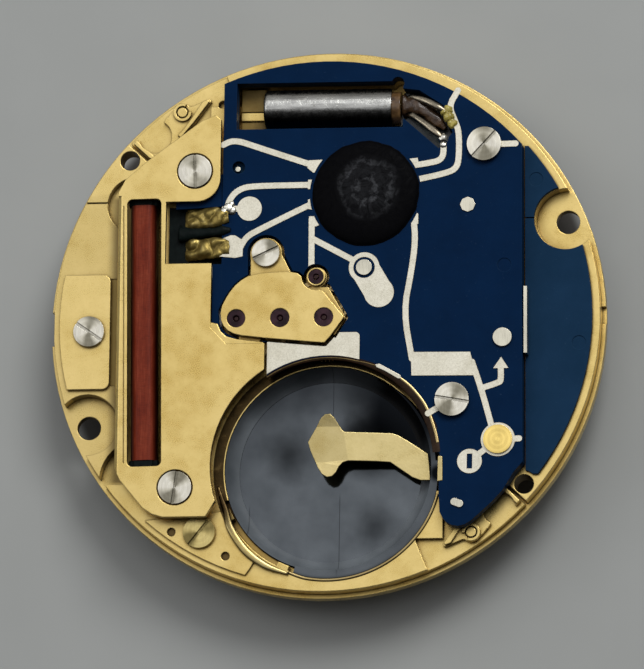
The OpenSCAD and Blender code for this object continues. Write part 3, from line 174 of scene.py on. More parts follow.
class Mat(Tree):
    """A material built round one Principled shader."""

    def __init__(self, name, base, metallic, roughness, **sockets):
        self.mat = bpy.data.materials.new(name)
        self.mat.use_nodes = True
        super().__init__(self.mat.node_tree)
        self.tree.nodes.clear()
        out = self.node("OutputMaterial")
        self.bsdf = self.node("BsdfPrincipled")
        self.put(out.inputs[0], self.bsdf.outputs[0])
        self.bsdf.inputs["Base Color"].default_value = (*base, 1)
        self.bsdf.inputs["Metallic"].default_value = metallic
        self.bsdf.inputs["Roughness"].default_value = roughness
        for key, value in sockets.items():
            self.bsdf.inputs[key.replace("_", " ")].default_value = value
        self.coord = self.node("TexCoord").outputs["Object"]
        self.normal = None

    def scaled(self, stretch):
        """The shared frame's coordinates, multiplied on each axis."""
        made = self.node("Mapping")
        self.put(made.inputs["Vector"], self.coord)
        made.inputs["Scale"].default_value = stretch
        return made.outputs[0]

    def noise(self, size, detail=3, rough=0.5, distort=0.0, vector=None):
        """Noise whose features are about size millimetres across."""
        made = self.node("TexNoise")
        self.put(made.inputs["Vector"], vector or self.coord)
        made.inputs["Scale"].default_value = 1 / (size * MM)
        made.inputs["Detail"].default_value = detail
        made.inputs["Roughness"].default_value = rough
        made.inputs["Distortion"].default_value = distort
        return made.outputs["Fac"]

    def bevel(self, radius):
        """The normal as it is with edges rounded by radius millimetres."""
        made = self.node("Bevel", samples=NEAR_RAYS)
        made.inputs["Radius"].default_value = radius * MM
        return made.outputs[0]

    def turn_normal(self, normal):
        """Gives the shader a normal, on which a later bump builds."""
        self.normal = normal
        self.put(self.bsdf.inputs["Normal"], normal)

    def soften(self, radius):
        """Rounds the look of every edge by radius millimetres."""
        self.turn_normal(self.bevel(radius))

    def bump(self, height, depth):
        """Raises the look of the surface by a height from 0 to 1 that stands for depth millimetres."""
        made = self.node("Bump")
        made.inputs["Strength"].default_value = 1
        made.inputs["Distance"].default_value = depth * MM
        self.put(made.inputs["Height"], height)
        if self.normal is not None:
            self.put(made.inputs["Normal"], self.normal)
        self.turn_normal(made.outputs[0])

    def edge(self, radius):
        """How much a point is near a convex edge, from 0 to 1."""
        dot = self.node("VectorMath", operation="DOT_PRODUCT")
        self.put(dot.inputs[0], self.bevel(radius))
        self.put(dot.inputs[1], self.node("NewGeometry").outputs["Normal"])
        return self.math("SUBTRACT", 1.0, dot.outputs["Value"], clamp=True)

    def hollow(self, reach):
        """Dark where a point is shut in, within reach millimetres."""
        made = self.node("AmbientOcclusion", samples=NEAR_RAYS)
        made.inputs["Distance"].default_value = reach * MM
        return made.outputs["AO"]

    def upright(self):
        """1 on walls that stand upright, 0 on level faces."""
        split = self.node("SeparateXYZ")
        self.put(split.inputs[0], self.node("NewGeometry").outputs["True Normal"])
        level = self.times(self.math("ABSOLUTE", split.outputs[2]), 1.6)
        return self.math("SUBTRACT", 1.0, level, clamp=True)

    def place(self):
        """The x, y and z of a point in the shared frame, in millimetres."""
        scale = self.node("VectorMath", operation="SCALE")
        self.put(scale.inputs[0], self.coord)
        scale.inputs["Scale"].default_value = 1 / MM
        split = self.node("SeparateXYZ")
        self.put(split.inputs[0], scale.outputs[0])
        return split.outputs

    def from_point(self, x, y):
        """Distance seen from above, in millimetres, from a point to (x, y)."""
        across, along, _ = self.place()
        dx = self.less(across, x)
        dy = self.less(along, y)
        return self.math("SQRT", self.math("ADD", self.times(dx, dx), self.times(dy, dy)))

    def step(self, value, start, end, low=0.0, high=1.0):
        """Goes smoothly from low to high while value goes from start to end."""
        made = self.node("MapRange", interpolation_type="SMOOTHSTEP")
        self.put(made.inputs["Value"], value)
        for key, number in (("From Min", start), ("From Max", end), ("To Min", low), ("To Max", high)):
            made.inputs[key].default_value = number
        return made.outputs[0]

    def within(self, value, low, high, blur=0.02):
        """1 where value is between low and high, with soft ends."""
        rise = self.step(value, low - blur, low + blur)
        fall = self.step(value, high - blur, high + blur)
        return self.math("SUBTRACT", rise, fall, clamp=True)

    def spot(self, x, y, radius, blur):
        """1 inside a circle seen from above."""
        return self.within(self.from_point(x, y), -1, radius, blur)

    def colour(self, value):
        self.put(self.bsdf.inputs["Base Color"], value)

    def rough(self, value):
        self.put(self.bsdf.inputs["Roughness"], value)


# Gold plating
def plated_tone(m, base, cloud, fine, middle):
    """The plating's own colour: soft clouds, and grit on them."""
    dark = tuple(c * k for c, k in zip(base, (0.84, 0.79, 0.66)))
    light = tuple(min(1, c * k) for c, k in zip(base, (1.06, 1.07, 1.14)))
    clouds = m.total((m.noise(5.5, 2, 0.5), 0.55), (cloud, 0.45))
    tone = m.ramp(clouds, (0.36, dark), (0.5, base), (0.64, light))
    grit = m.ramp(m.total((fine, 0.6), (middle, 0.4)), (0.34, (0.88, 0.85, 0.76)), (0.54, WHITE))
    return m.mix(0.55, tone, grit, "MULTIPLY")


def plated_painted_shade(m, tone):
    """Painted shade in brown: in crevices, fainter ones at the rim, on walls inside the flange and along
    convex edges.
    """
    rim = m.within(m.from_point(*PLATE_MIDDLE), RIM_RADIUS, BEYOND, 0.3)
    # Painted shade where the gold is shut in
    wide = m.ramp(m.hollow(0.8), (0.15, (0.26, 0.17, 0.08)), (0.85, WHITE))
    tone = m.mix(m.less(0.8, m.times(rim, 0.5)), tone, wide, "MULTIPLY")
    close = m.ramp(m.hollow(0.16), (0.35, (0.1, 0.055, 0.02)), (0.85, WHITE))
    tone = m.mix(0.95, tone, close, "MULTIPLY")
    inside = m.less(1.0, m.within(m.from_point(*PLATE_MIDDLE), FLANGE_RADIUS, BEYOND, 0.05))
    # Painted shade on upright walls inside the flange
    tone = m.mix(m.times(m.upright(), inside, 0.75), tone, (0.12, 0.075, 0.025))
    # Painted shade along convex edges: a dark brown outline
    painted_edge_shade = m.ramp(m.edge(0.06), (0.02, 0.0), (0.14, 1.0))
    return m.mix(m.times(painted_edge_shade, 0.6), tone, (0.33, 0.22, 0.075))


def well_wall(m, tone):
    """Painted shade in brown on the battery well's wall at its upper left side, under a bright rim."""
    across, along, height = m.place()
    radius = m.from_point(*WELL)
    upper_left = m.less(m.times(along, 0.82), m.times(across, 0.57))
    side = m.within(upper_left, -5.6, 9.0, 1.1)
    bright_rim = m.times(m.within(radius, *BRIGHT_RIM_RADII, 0.012), m.within(height, *BRIGHT_RIM_Z))
    wall = m.times(m.within(radius, *WALL_RADII), side, m.less(1.0, bright_rim),
                   m.within(height, *WALL_Z, 0.05))
    # Painted shade: the dark wall in the well's shadow
    brown = m.ramp(m.noise(0.5, 3, 0.7, vector=m.scaled((1, 1, 0.2))), (0.35, (0.012, 0.007, 0.004)),
                   (0.6, (0.035, 0.02, 0.008)), (0.78, (0.12, 0.08, 0.03)))
    return m.mix(m.times(wall, 0.97), tone, brown)


def gold_plated(name, base, low, high, edge=0.06, bands=(), spots=()):
    """Sandblasted gold plating: fine grain, soft clouds, brown painted shade on walls and in crevices, and
    painted shade at given places.

    A band is (low x, high x, blur, low y, high y, share), a spot (x, y, radius, share).
    """
    m = Mat(name, base, 1.0, low)
    m.soften(edge)
    cloud = m.noise(1.1, 4, 0.6)
    fine = m.noise(0.045, 2, 0.7)
    middle = m.noise(0.16, 3, 0.6)
    tone = plated_painted_shade(m, plated_tone(m, base, cloud, fine, middle))
    across, along, _ = m.place()
    shades = [(m.times(m.within(across, x1, x2, blur), m.within(along, y1, y2, 0.15)), share)
              for x1, x2, blur, y1, y2, share in bands]
    shades += [(m.spot(x, y, radius, 0.04), share) for x, y, radius, share in spots]
    # Painted shade at each band and spot
    for mask, share in shades:
        tone = m.mix(m.times(mask, share), tone, (0.05, 0.03, 0.012))
    m.colour(well_wall(m, tone))
    m.rough(m.ramp(m.total((cloud, 0.5), (fine, 0.5)), (0.35, low), (0.7, high)))
    m.bump(m.total((fine, 1), (middle, 1.5)), 0.0016)
    return m.mat


# Other metals
def turned_head(m, tone, cloud, place, start, rings, sheen_share):
    """Turned rings on a screw's head, and sectors of painted reflection round it."""
    x, y = place
    head = m.spot(x, y, 1.1, 0.05)
    across, along, _ = m.place()
    angle = m.math("ARCTAN2", m.less(along, y), m.less(across, x))
    sector = m.math("SINE", m.math("ADD", m.times(angle, 2.0), start + 0.9))
    sector_sheen = m.total((sector, 0.35), (cloud, 0.9))
    # Painted reflection: bright and dark sectors round the head
    shade = m.ramp(sector_sheen, (0.12, (0.34, 0.33, 0.29)), (0.42, (0.78, 0.77, 0.73)), (0.66, WHITE))
    tone = m.mix(m.times(head, sheen_share), tone, shade, "MULTIPLY")
    radians_per_mm = 26.0
    ring = m.math("SINE", m.times(m.from_point(x, y), radians_per_mm))
    groove = m.ramp(ring, (0.0, (0.86, 0.85, 0.83)), (0.6, WHITE))
    return m.mix(m.times(head, rings), tone, groove, "MULTIPLY")


def metal(name, base, low, high, brush=(1, 0.12, 1), scuff=0.4, turned=(), rings=0.5, sheen_share=1.0,
          dark_above=None):
    """Turned or polished metal with hairlines, smudges and painted shade in crevices.

    The heads at the places in turned (x, y, how far round the bright sectors of painted reflection lie) have
    rings and sectors.
    Above the height dark_above it is painted dark red brown: the shade pivots stand in, deep in their jewels.
    """
    m = Mat(name, base, 1.0, low)
    m.soften(0.02)
    lines = m.noise(0.07, 2, 0.6, vector=m.scaled(brush))
    cloud = m.noise(0.9, 2, 0.5)
    dark = tuple(c * (1 - 0.4 * scuff) for c in base)
    tone = m.ramp(m.total((lines, 0.55), (cloud, 0.45)), (0.34, dark), (0.56, base))
    for x, y, start in turned:
        tone = turned_head(m, tone, cloud, (x, y), start, rings, sheen_share)
    # Painted shade where the metal is shut in
    shut = m.ramp(m.hollow(0.18), (0.25, (0.1, 0.085, 0.06)), (0.75, WHITE))
    tone = m.mix(0.85, tone, shut, "MULTIPLY")
    # Painted shade on the pivots' tops in their jewels
    if dark_above is not None:
        painted_pivot_shade = m.within(m.place()[2], dark_above, BEYOND, 0.03)
        tone = m.mix(m.times(painted_pivot_shade, 0.97), tone, (0.02, 0.006, 0.006))
    m.colour(tone)
    m.rough(m.ramp(cloud, (0.35, low), (0.65, high)))
    m.bump(lines, 0.0012)
    return m.mat


def can_metal(name):
    """Drawn can: smooth, with a dented and tarnished skin, a painted bright reflection band along it and
    painted shade towards its two long sides.
    """
    m = Mat(name, (0.5, 0.5, 0.49), 1.0, 0.2)
    m.soften(0.08)
    skin = m.noise(0.28, 5, 0.75, distort=0.6)
    drawn = m.noise(0.16, 3, 0.6, vector=m.scaled((0.12, 1, 1)))
    tone = m.ramp(drawn, (0.3, (0.36, 0.36, 0.35)), (0.62, (0.56, 0.56, 0.545)))
    spots = m.ramp(m.noise(0.35, 4, 0.8), (0.3, (0.3, 0.27, 0.22)), (0.42, WHITE))
    tone = m.mix(0.6, tone, spots, "MULTIPLY")
    low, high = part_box("quartz_can")
    half = (high.y - low.y) / 2 / MM
    # From -1 at the can's lower side to 1 at its upper one
    level = m.times(m.less(m.place()[1], middle_of("quartz_can")[1]), 1 / half)
    level = m.total((level, 1), (m.less(skin, 0.5), 0.25))
    # Painted light: a bright reflection band along the can, darkening towards both long sides
    painted_reflection_bands = m.ramp(m.math("ADD", m.times(level, 0.5), 0.5),
                   (0.16, (0.05, 0.05, 0.05)), (0.36, (0.3, 0.3, 0.29)), (0.44, (0.85, 0.85, 0.82)),
                   (0.6, (0.9, 0.9, 0.87)), (0.8, (0.6, 0.58, 0.52)), (0.92, (0.25, 0.22, 0.16)))
    m.colour(m.mix(1.0, tone, painted_reflection_bands, "MULTIPLY"))
    m.rough(m.ramp(skin, (0.35, 0.16), (0.68, 0.36)))
    m.bump(m.total((skin, 1), (drawn, 0.5)), 0.012)
    return m.mat


def tinned(name):
    """Tinned copper: matt white metal with a fine grain and a faint khaki rim."""
    m = Mat(name, (0.66, 0.63, 0.5), 0.75, 0.42)
    grain = m.noise(0.06, 3, 0.7)
    cloud = m.noise(0.8, 4, 0.6)
    tone = m.ramp(grain, (0.3, (0.54, 0.51, 0.41)), (0.6, (0.72, 0.69, 0.57)))
    soft = m.ramp(cloud, (0.3, (0.88, 0.87, 0.82)), (0.6, WHITE))
    tone = m.mix(0.8, tone, soft, "MULTIPLY")
    rim = m.ramp(m.edge(0.05), (0.05, 0.0), (0.4, 0.85))
    m.colour(m.mix(rim, tone, (0.3, 0.25, 0.14)))
    m.rough(m.ramp(cloud, (0.35, 0.36), (0.7, 0.5)))
    m.bump(grain, 0.002)
    return m.mat


def foil_metal(name):
    """Thin crinkled foil, olive brown with stains and painted white glints."""
    m = Mat(name, (0.3, 0.23, 0.07), 0.8, 0.3)
    stains_and_glints = m.noise(0.7, 4, 0.65, distort=1.0)
    # Its palest stop is a painted glint
    m.colour(m.ramp(stains_and_glints, (0.3, (0.11, 0.075, 0.018)), (0.5, (0.27, 0.2, 0.052)), (0.7, (0.42, 0.33, 0.12)),
                    (0.8, (0.7, 0.66, 0.45))))
    m.rough(m.ramp(stains_and_glints, (0.35, 0.5), (0.7, 0.3)))
    m.bump(m.noise(0.45, 3, 0.55, distort=0.8), 0.012)
    return m.mat


# Board, plastics, film and glass
def board_mask(name, base, tint, rough):
    """Solder mask: deep colour with a faint weave, dust and paler worn edges; painted shade where it is shut
    in, brown on the well's wall.
    """
    m = Mat(name, base, 0.0, rough, Specular_IOR_Level=0.03)
    m.soften(0.03)
    tone = m.ramp(m.noise(2.2, 5, 0.65), (0.32, base), (0.7, tint))
    dust = m.ramp(m.noise(0.12, 2, 0.8), (0.68, (0, 0, 0)), (0.78, (0.03, 0.05, 0.07)))
    tone = m.mix(0.6, tone, dust, "ADD")
    worn = m.ramp(m.edge(0.05), (0.08, 0.0), (0.5, 0.5))
    tone = m.mix(worn, tone, (0.03, 0.085, 0.17))
    # Painted shade where the mask is shut in
    shut = m.ramp(m.hollow(0.2), (0.25, (0.12, 0.1, 0.09)), (0.75, WHITE))
    tone = m.mix(0.55, tone, shut, "MULTIPLY")
    # Painted shade in brown on the wall round the well
    _, along, height = m.place()
    wall = m.times(m.within(m.from_point(*WELL), *BOARD_WALL_RADII, 0.012), m.within(height, *BOARD_WALL_Z))
    wall = m.math("MAXIMUM", wall, m.within(m.from_point(*BOARD_WELL), 0, BOARD_WELL_RADIUS))
    wall = m.times(wall, m.within(along, *BOARD_WALL_Y, 0.2))
    m.colour(m.mix(m.times(wall, 0.95), tone, (0.018, 0.01, 0.006)))
    m.rough(m.ramp(m.noise(0.5, 4, 0.7), (0.35, rough - 0.08), (0.7, rough + 0.1)))
    m.bump(m.noise(0.12, 1, 0.4, vector=m.scaled((1, 3, 1))), 0.002)
    return m.mat


def plastic(name, base, tint, rough, size=0.3, relief=0.004, **sockets):
    """Moulded plastic or run glue: clouded between two colours, with painted shade where it is shut in."""
    m = Mat(name, base, 0.0, rough, **sockets)
    m.soften(0.02)
    tone = m.ramp(m.noise(size, 4, 0.65), (0.3, base), (0.72, tint))
    # Painted shade where the plastic is shut in
    painted_hollow_shade = m.ramp(m.hollow(0.4), (0.2, (0.3, 0.28, 0.26)), (0.8, WHITE))
    m.colour(m.mix(0.8, tone, painted_hollow_shade, "MULTIPLY"))
    m.rough(m.ramp(m.noise(size * 0.6, 3, 0.6), (0.35, rough - 0.08), (0.7, rough + 0.1)))
    m.bump(m.noise(size * 0.3, 2, 0.6), relief)
    return m.mat


def coil_wire(name):
    """Enamelled wire on the bar: a fine painted lengthwise sheen, and painted shade leaving a brighter middle
    and nearly black flanks.
    """
    m = Mat(name, (0.22, 0.035, 0.02), 0.0, 0.42, Specular_IOR_Level=0.1)
    across, along, _ = m.place()
    middle = m.math("ADD", COIL_MIDDLE, m.times(along, -math.tan(COIL_LEAN)))
    off = m.math("ABSOLUTE", m.less(across, middle))
    strands_and_sheen = m.noise(0.06, 3, 0.6, vector=m.scaled((1, 0.06, 1)))
    turns = m.noise(0.05, 2, 0.5, vector=m.scaled((0.2, 1, 1)))
    cloud = m.noise(0.6, 3, 0.6, vector=m.scaled((1, 0.35, 1)))
    tone = m.ramp(m.total((cloud, 0.5), (strands_and_sheen, 0.5)),
                  (0.32, (0.115, 0.014, 0.006)), (0.5, (0.185, 0.025, 0.009)), (0.7, (0.265, 0.05, 0.022)))
    lines = m.ramp(turns, (0.3, 0.8), (0.6, 1.0))
    tone = m.mix(1.0, tone, lines, "MULTIPLY")
    # Painted shade: the flanks fall off into darkness
    painted_flank_shade = m.ramp(off, (0.38, WHITE), (0.56, (0.16, 0.1, 0.1)), (0.66, (0.04, 0.02, 0.02)))
    m.colour(m.mix(1.0, tone, painted_flank_shade, "MULTIPLY"))
    m.rough(m.ramp(cloud, (0.35, 0.36), (0.7, 0.55)))
    m.bump(m.total((turns, 1), (strands_and_sheen, 1)), 0.003)
    return m.mat


# Painted shade and painted dark reflections on the film: x, y, radius of the dark middle, radius of its end,
# what is left of the tone
FILM_SHADES = ((3.7, -4.3, 1.5, 3.6, 0.02), (-1.7, -6.1, 0.2, 2.1, 0.3), (2.3, -9.5, 0.1, 1.9, 0.45),
               (1.5, -2.9, 0.3, 2.6, 0.4), (-0.9, -2.6, 0.4, 2.3, 0.6), (-2.7, -3.5, 0.3, 1.8, 0.7),
               (3.9, -10.2, 0.3, 1.6, 0.75), (1.9, -5.6, 0.9, 2.4, 0.15), (5.35, -7.25, 0.45, 0.8, 0.0))
# Thin dark seams in the film: x, low y, high y
FILM_SEAMS = ((0.26, -4.4, -1.8), (0.62, -12.0, -8.1), (-3.6, -11.0, -8.6))
SEAM_WIDTH = 0.035
# The film's painted bright middle, away from which painted shade darkens it
FILM_BRIGHT_MIDDLE = (0.5, -8.5)


def film(name, metallic=1.0, low=(0.083, 0.093, 0.1), high=(0.126, 0.14, 0.149), gloss=(0.08, 0.14),
         shine=0.5, fade=0.5):
    """Glossy insulating film of a blue grey, with painted shade and painted dark reflections, thin seams and
    dust.

    It fades to a darker painted shade away from its bright middle, by the share fade.
    """
    m = Mat(name, low, metallic, gloss[0], Specular_IOR_Level=shine)
    across, along, _ = m.place()
    haze = m.noise(1.6, 3, 0.5)
    tone = m.ramp(haze, (0.3, low), (0.7, high))
    # Painted shade and dark reflections at each place
    for x, y, inner, outer, least in FILM_SHADES:
        apart = m.total((m.from_point(x, y), 1), (haze, 0.5))
        tone = m.mix(1.0, tone, m.step(apart, inner, outer, least), "MULTIPLY")
    # Painted shade that grows away from the bright middle
    far = m.ramp(m.times(m.from_point(*FILM_BRIGHT_MIDDLE), 0.1), (0.36, 0.0), (0.56, 1.0))
    tone = m.mix(m.times(far, fade), tone, (0.012, 0.014, 0.017))
    for x, y1, y2 in FILM_SEAMS:
        seam = m.times(m.within(across, x, x + SEAM_WIDTH, 0.012), m.within(along, y1, y2, 0.2))
        tone = m.mix(m.times(seam, 0.6), tone, (0.012, 0.013, 0.015))
    dust = m.ramp(m.noise(0.09, 2, 0.7), (0.76, 0.0), (0.8, 0.5))
    m.colour(m.mix(dust, tone, (0.02, 0.02, 0.02)))
    m.rough(m.ramp(haze, (0.35, gloss[0]), (0.7, gloss[1])))
    m.bump(haze, 0.006)
    return m.mat


def chip_epoxy(name):
    """Black potting compound, dull, with pale rubbed swirls in the middle and small pits."""
    m = Mat(name, (0.002, 0.002, 0.0025), 0.0, 0.55, Specular_IOR_Level=0.03)
    swirl = m.noise(0.8, 6, 0.75, distort=2.8)
    apart = m.from_point(CHIP[0] + 0.1, CHIP[1] + 0.25)
    rubbed = m.ramp(m.total((apart, 0.5), (m.noise(1.2, 2, 0.5), 0.35)), (0.62, 1.0), (1.0, 0.0))
    ring = m.math("SINE", m.total((apart, 7.0), (m.noise(1.8, 4, 0.7), 22.0)))
    streak = m.times(m.ramp(swirl, (0.4, 0.1), (0.6, 1.0)), m.ramp(ring, (0.0, 0.1), (0.9, 1.0)))
    haze = m.ramp(swirl, (0.35, 0.0), (0.7, 0.25))
    mask = m.times(rubbed, m.total((streak, 0.8), (haze, 1)))
    m.colour(m.mix(mask, (0.0015, 0.0015, 0.002), (0.05, 0.052, 0.056)))
    m.rough(m.ramp(swirl, (0.4, 0.5), (0.62, 0.75)))
    m.bump(m.noise(0.3, 5, 0.7), 0.01)
    return m.mat


def ruby(name):
    """Synthetic ruby, nearly black in the shade of its hole."""
    m = Mat(name, (0.16, 0.008, 0.035), 0.0, 0.1, Specular_IOR_Level=0.15)
    m.soften(0.03)
    m.colour(m.ramp(m.noise(0.4, 2), (0.35, (0.012, 0.004, 0.006)), (0.7, (0.05, 0.02, 0.028))))
    m.rough(m.ramp(m.noise(0.2, 2), (0.4, 0.04), (0.7, 0.12)))
    return m.mat


def glass_bead(name):
    """The brown glass in which the crystal's leads stand."""
    m = Mat(name, (0.06, 0.03, 0.012), 0.0, 0.15, IOR=1.5)
    m.soften(0.05)
    m.colour(m.ramp(m.noise(0.3, 3), (0.3, (0.03, 0.014, 0.006)), (0.7, (0.16, 0.09, 0.035))))
    m.rough(m.ramp(m.noise(0.2, 2), (0.4, 0.1), (0.7, 0.3)))
    return m.mat


# The looks of the record's material slots
GOLD = (0.7, 0.53, 0.195)
STEEL_HEAD = (0.74, 0.71, 0.6)
LOOKS = {
    "gold": gold_plated("gold_plate", GOLD, 0.24, 0.38),
    "polished_steel": metal("nickel_screw", (0.66, 0.63, 0.5), 0.16, 0.3, scuff=0.55),
    "steel": metal("turned_steel", (0.66, 0.65, 0.62), 0.22, 0.4),
    "wheel_brass": metal("wheel_brass", (0.8, 0.6, 0.27), 0.24, 0.38, scuff=0.3),
    "ruby": ruby("ruby"),
    "soft_iron": metal("soft_iron", (0.5, 0.49, 0.46), 0.36, 0.5, scuff=0.5),
    "magnet": metal("ground_magnet", (0.28, 0.27, 0.26), 0.3, 0.5),
    "bobbin": plastic("bobbin_plastic", (0.002, 0.004, 0.004), (0.007, 0.011, 0.01), 0.4,
                      Specular_IOR_Level=0.05),
    "coil_wire": coil_wire("coil_wire"),
    "foil": foil_metal("terminal_foil"),
    "film": film("insulating_film"),
    "date_print": plastic("date_print", (0.78, 0.77, 0.73), (0.84, 0.83, 0.8), 0.45),
    "board_blue": board_mask("board_mask", (0.0005, 0.0115, 0.041), (0.0009, 0.015, 0.053), 0.42),
    "support_blue": board_mask("support_mask", (0.006, 0.027, 0.062), (0.009, 0.035, 0.08), 0.5),
    "track_silver": tinned("tinned_track"),
    "contact_gold": metal("contact_gold", (0.92, 0.72, 0.2), 0.26, 0.4, scuff=0.2),
    "chip_black": chip_epoxy("chip_epoxy"),
    "can_steel": can_metal("drawn_can"),
    "base_glass": glass_bead("glass_bead"),
    "solder": metal("solder", (0.72, 0.7, 0.6), 0.16, 0.32, scuff=0.5),
}

# Nodes whose look differs from their slot's: shaded gold, turned heads and pivots painted dark
SPRING_LOOK = gold_plated("spring_gold", (0.51, 0.415, 0.187), 0.26, 0.36, edge=0.03)
# Painted shadow on the plate beside the cover, over this stretch in y, and painted shade in the positive
# contact's holes
COVER_SHADE_Y = (-7.4, 6.2)
CONTACT_HOLES = ((-7.1, -9.92), (-4.55, -11.1))
CONTACT_HOLE_RADIUS = 0.24
OWN_LOOKS = {
    "battery_spring": SPRING_LOOK,
    "main_plate": gold_plated(
        "main_plate_gold", GOLD, 0.24, 0.38,
        # Bands of painted shadow beside the cover and faint painted shade towards the left edge; spots of
        # painted shade in the holes
        bands=((COVER_LEFT - 0.42, COVER_LEFT + 0.6, 0.3, *COVER_SHADE_Y, 0.78),
               (-13.2, -9.6, 0.5, *COVER_SHADE_Y, 0.13)),
        spots=[(*hole, CONTACT_HOLE_RADIUS, 0.9) for hole in CONTACT_HOLES]),
    "positive_contact_screw": metal("contact_screw_gold", (0.62, 0.5, 0.2), 0.16, 0.28,
                                    turned=((-5.78, -9.99, 2.6),)),
    "contact_disc": metal("contact_disc_gold", (1.0, 0.75, 0.23), 0.2, 0.3, scuff=0.2,
                          turned=((8.21, -5.9, 1.0),), rings=0.8, sheen_share=0.2),
}
# Steel screws: the x and y of each head, and how far round its bright sectors of painted reflection lie
STEEL_HEADS = {
    "cover_screws": ((-6.14, 7.06, 0.3), (-6.85, -8.0, 1.4)),
    "bridge_screw": ((-2.78, 3.13, 2.2),),
    "stem_plate_screw": ((-11.1, -0.39, 0.8),),
    "module_screws": ((7.4, 8.14, 0.5), (6.05, -4.0, 2.0)),
}
for name, heads in STEEL_HEADS.items():
    OWN_LOOKS[name] = metal(name + "_steel", STEEL_HEAD, 0.2, 0.34, turned=heads)
pivot_look = metal("pivot_steel", (0.6, 0.58, 0.54), 0.2, 0.35, dark_above=1.95)
for name in ("rotor_pinion", "intermediate_pinion", "seconds_arbor", "third_pinion"):
    OWN_LOOKS[name] = pivot_look
for name, part in NODES.items():
    part.data.materials.clear()
    part.data.materials.append(OWN_LOOKS.get(name, LOOKS[slot_of[name]]))


# The photograph's viewing angle and scale
PIXELS_PER_MM = 21.5
FRAME_W, FRAME_H = 644, 669
# Where the hand axis crosses the plane of the dial seat
CENTRE_PX = (330.2, 327.9)
# The camera looks from a direction turned from straight above by TILT, towards TILT_WAY
TILT = math.radians(15)
TILT_WAY = Vector((0.52, -0.854))
DISTANCE = 1000
SENSOR = 36


def seen_at(px, py, z):
    """The point at height z, in millimetres, that the camera shows at a place of its picture."""
    ix = (px - CENTRE_PX[0]) / PIXELS_PER_MM
    iy = (CENTRE_PX[1] - py) / PIXELS_PER_MM
    way = TILT_WAY.normalized()
    down = ((ix * way.x + iy * way.y) + z * math.sin(TILT)) / math.cos(TILT)
    over = -ix * way.y + iy * way.x
    return down * way.x - over * way.y, down * way.y + over * way.x


# Ways to make the pieces that only the visual model has
def piece(name, look, verts, faces, smooth=True, body="movement"):
    """A mesh in millimetres that rides with a body and wears the given look."""
    mesh = bpy.data.meshes.new(name)
    mesh.from_pydata([tuple(c * MM for c in v) for v in verts], [], faces)
    mesh.validate()
    mesh.polygons.foreach_set("use_smooth", [smooth] * len(mesh.polygons))
    mesh.materials.append(look)
    made = bpy.data.objects.new(name, mesh)
    bpy.context.scene.collection.objects.link(made)
    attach(made, body)
    return made


def round_edges(made, radius, sharpest=30):
    """Rounds the edges at which a piece turns by more than an angle in degrees."""
    rounding = made.modifiers.new("rounding", "BEVEL")
    rounding.width = radius * MM
    rounding.segments = 3
    rounding.limit_method = "ANGLE"
    rounding.angle_limit = math.radians(sharpest)


def thicken(made, thickness, offset=-1):
    """Makes a sheet solid, to one side of it or, with an offset of 0, to both."""
    sheet = made.modifiers.new("thickness", "SOLIDIFY")
    sheet.thickness = thickness * MM
    sheet.offset = offset


def wobble(x, y, z, size, seed):
    """Smooth noise from -1 to 1 at a point in millimetres."""
    return noise.noise(Vector((x / size + seed, y / size, z / size)))


def grid_faces(rows, columns, wrap=False):
    """Faces of a grid of points, row after row."""
    last = columns if wrap else columns - 1
    return [(r * columns + c, r * columns + (c + 1) % columns,
             (r + 1) * columns + (c + 1) % columns, (r + 1) * columns + c)
            for r in range(rows - 1) for c in range(last)]


def smooth_path(points, steps):
    """A curve through the points, steps parts between two of them."""
    points = [Vector(p) for p in points]
    ends = [points[0] * 2 - points[1], *points, points[-1] * 2 - points[-2]]
    path = []
    for a, b, c, d in zip(ends, ends[1:], ends[2:], ends[3:]):
        for i in range(steps):
            t = i / steps
            path.append(0.5 * (2 * b + (c - a) * t + (2 * a - 5 * b + 4 * c - d) * t * t
                               + (3 * b - a - 3 * c + d) * t ** 3))
    return path + [points[-1]]


def tube(name, look, points, widths, flat=1.0, rough=0.0, seed=0.0):
    """A bent bar through points, widths being its radii there; flat squeezes it in height."""
    steps, around = 8, 14
    path = smooth_path(points, steps)
    verts = []
    for i, p in enumerate(path):
        along = (path[min(i + 1, len(path) - 1)] - path[max(i - 1, 0)]).normalized()
        side = along.cross(Vector((0, 0, 1))).normalized()
        up = side.cross(along)
        place = i / steps
        k = min(int(place), len(widths) - 2)
        r = widths[k] + (widths[k + 1] - widths[k]) * (place - k)
        for j in range(around):
            a = 2 * math.pi * j / around
            grown = r * (1 + rough * wobble(p.x + math.cos(a), p.y + math.sin(a), p.z, 0.3, seed))
            verts.append(p + side * math.cos(a) * grown + up * math.sin(a) * grown * flat)
    faces = grid_faces(len(path), around, wrap=True)
    faces.append(tuple(reversed(range(around))))
    faces.append(tuple(range((len(path) - 1) * around, len(path) * around)))
    return piece(name, look, verts, faces)


def blob(name, look, heaps, low, seed):
    """Run solder or flux: one mesh of low heaps (x, y, radius, height) that stand on the height low."""
    rough, rows, around = 0.16, 14, 36
    verts, faces = [], []
    for x, y, r, h in heaps:
        start = len(verts)
        for i in range(rows):
            share = (i + 0.001) / (rows - 1)
            for j in range(around):
                a = 2 * math.pi * j / around
                edge = r * (1 + rough * 1.6 * wobble(math.cos(a), math.sin(a), x, 0.7, seed + y))
                px = x + edge * share * math.cos(a)
                py = y + edge * share * math.sin(a)
                lift = h * math.sqrt(max(0.0, 1 - share ** 2.4)) * (1 + rough * wobble(px, py, 0, 0.16, seed))
                verts.append((px, py, low + lift))
        faces += [tuple(start + k for k in f) for f in grid_faces(rows, around, wrap=True)]
        faces.append(tuple(start + (rows - 1) * around + k for k in reversed(range(around))))
    return piece(name, look, verts, faces)


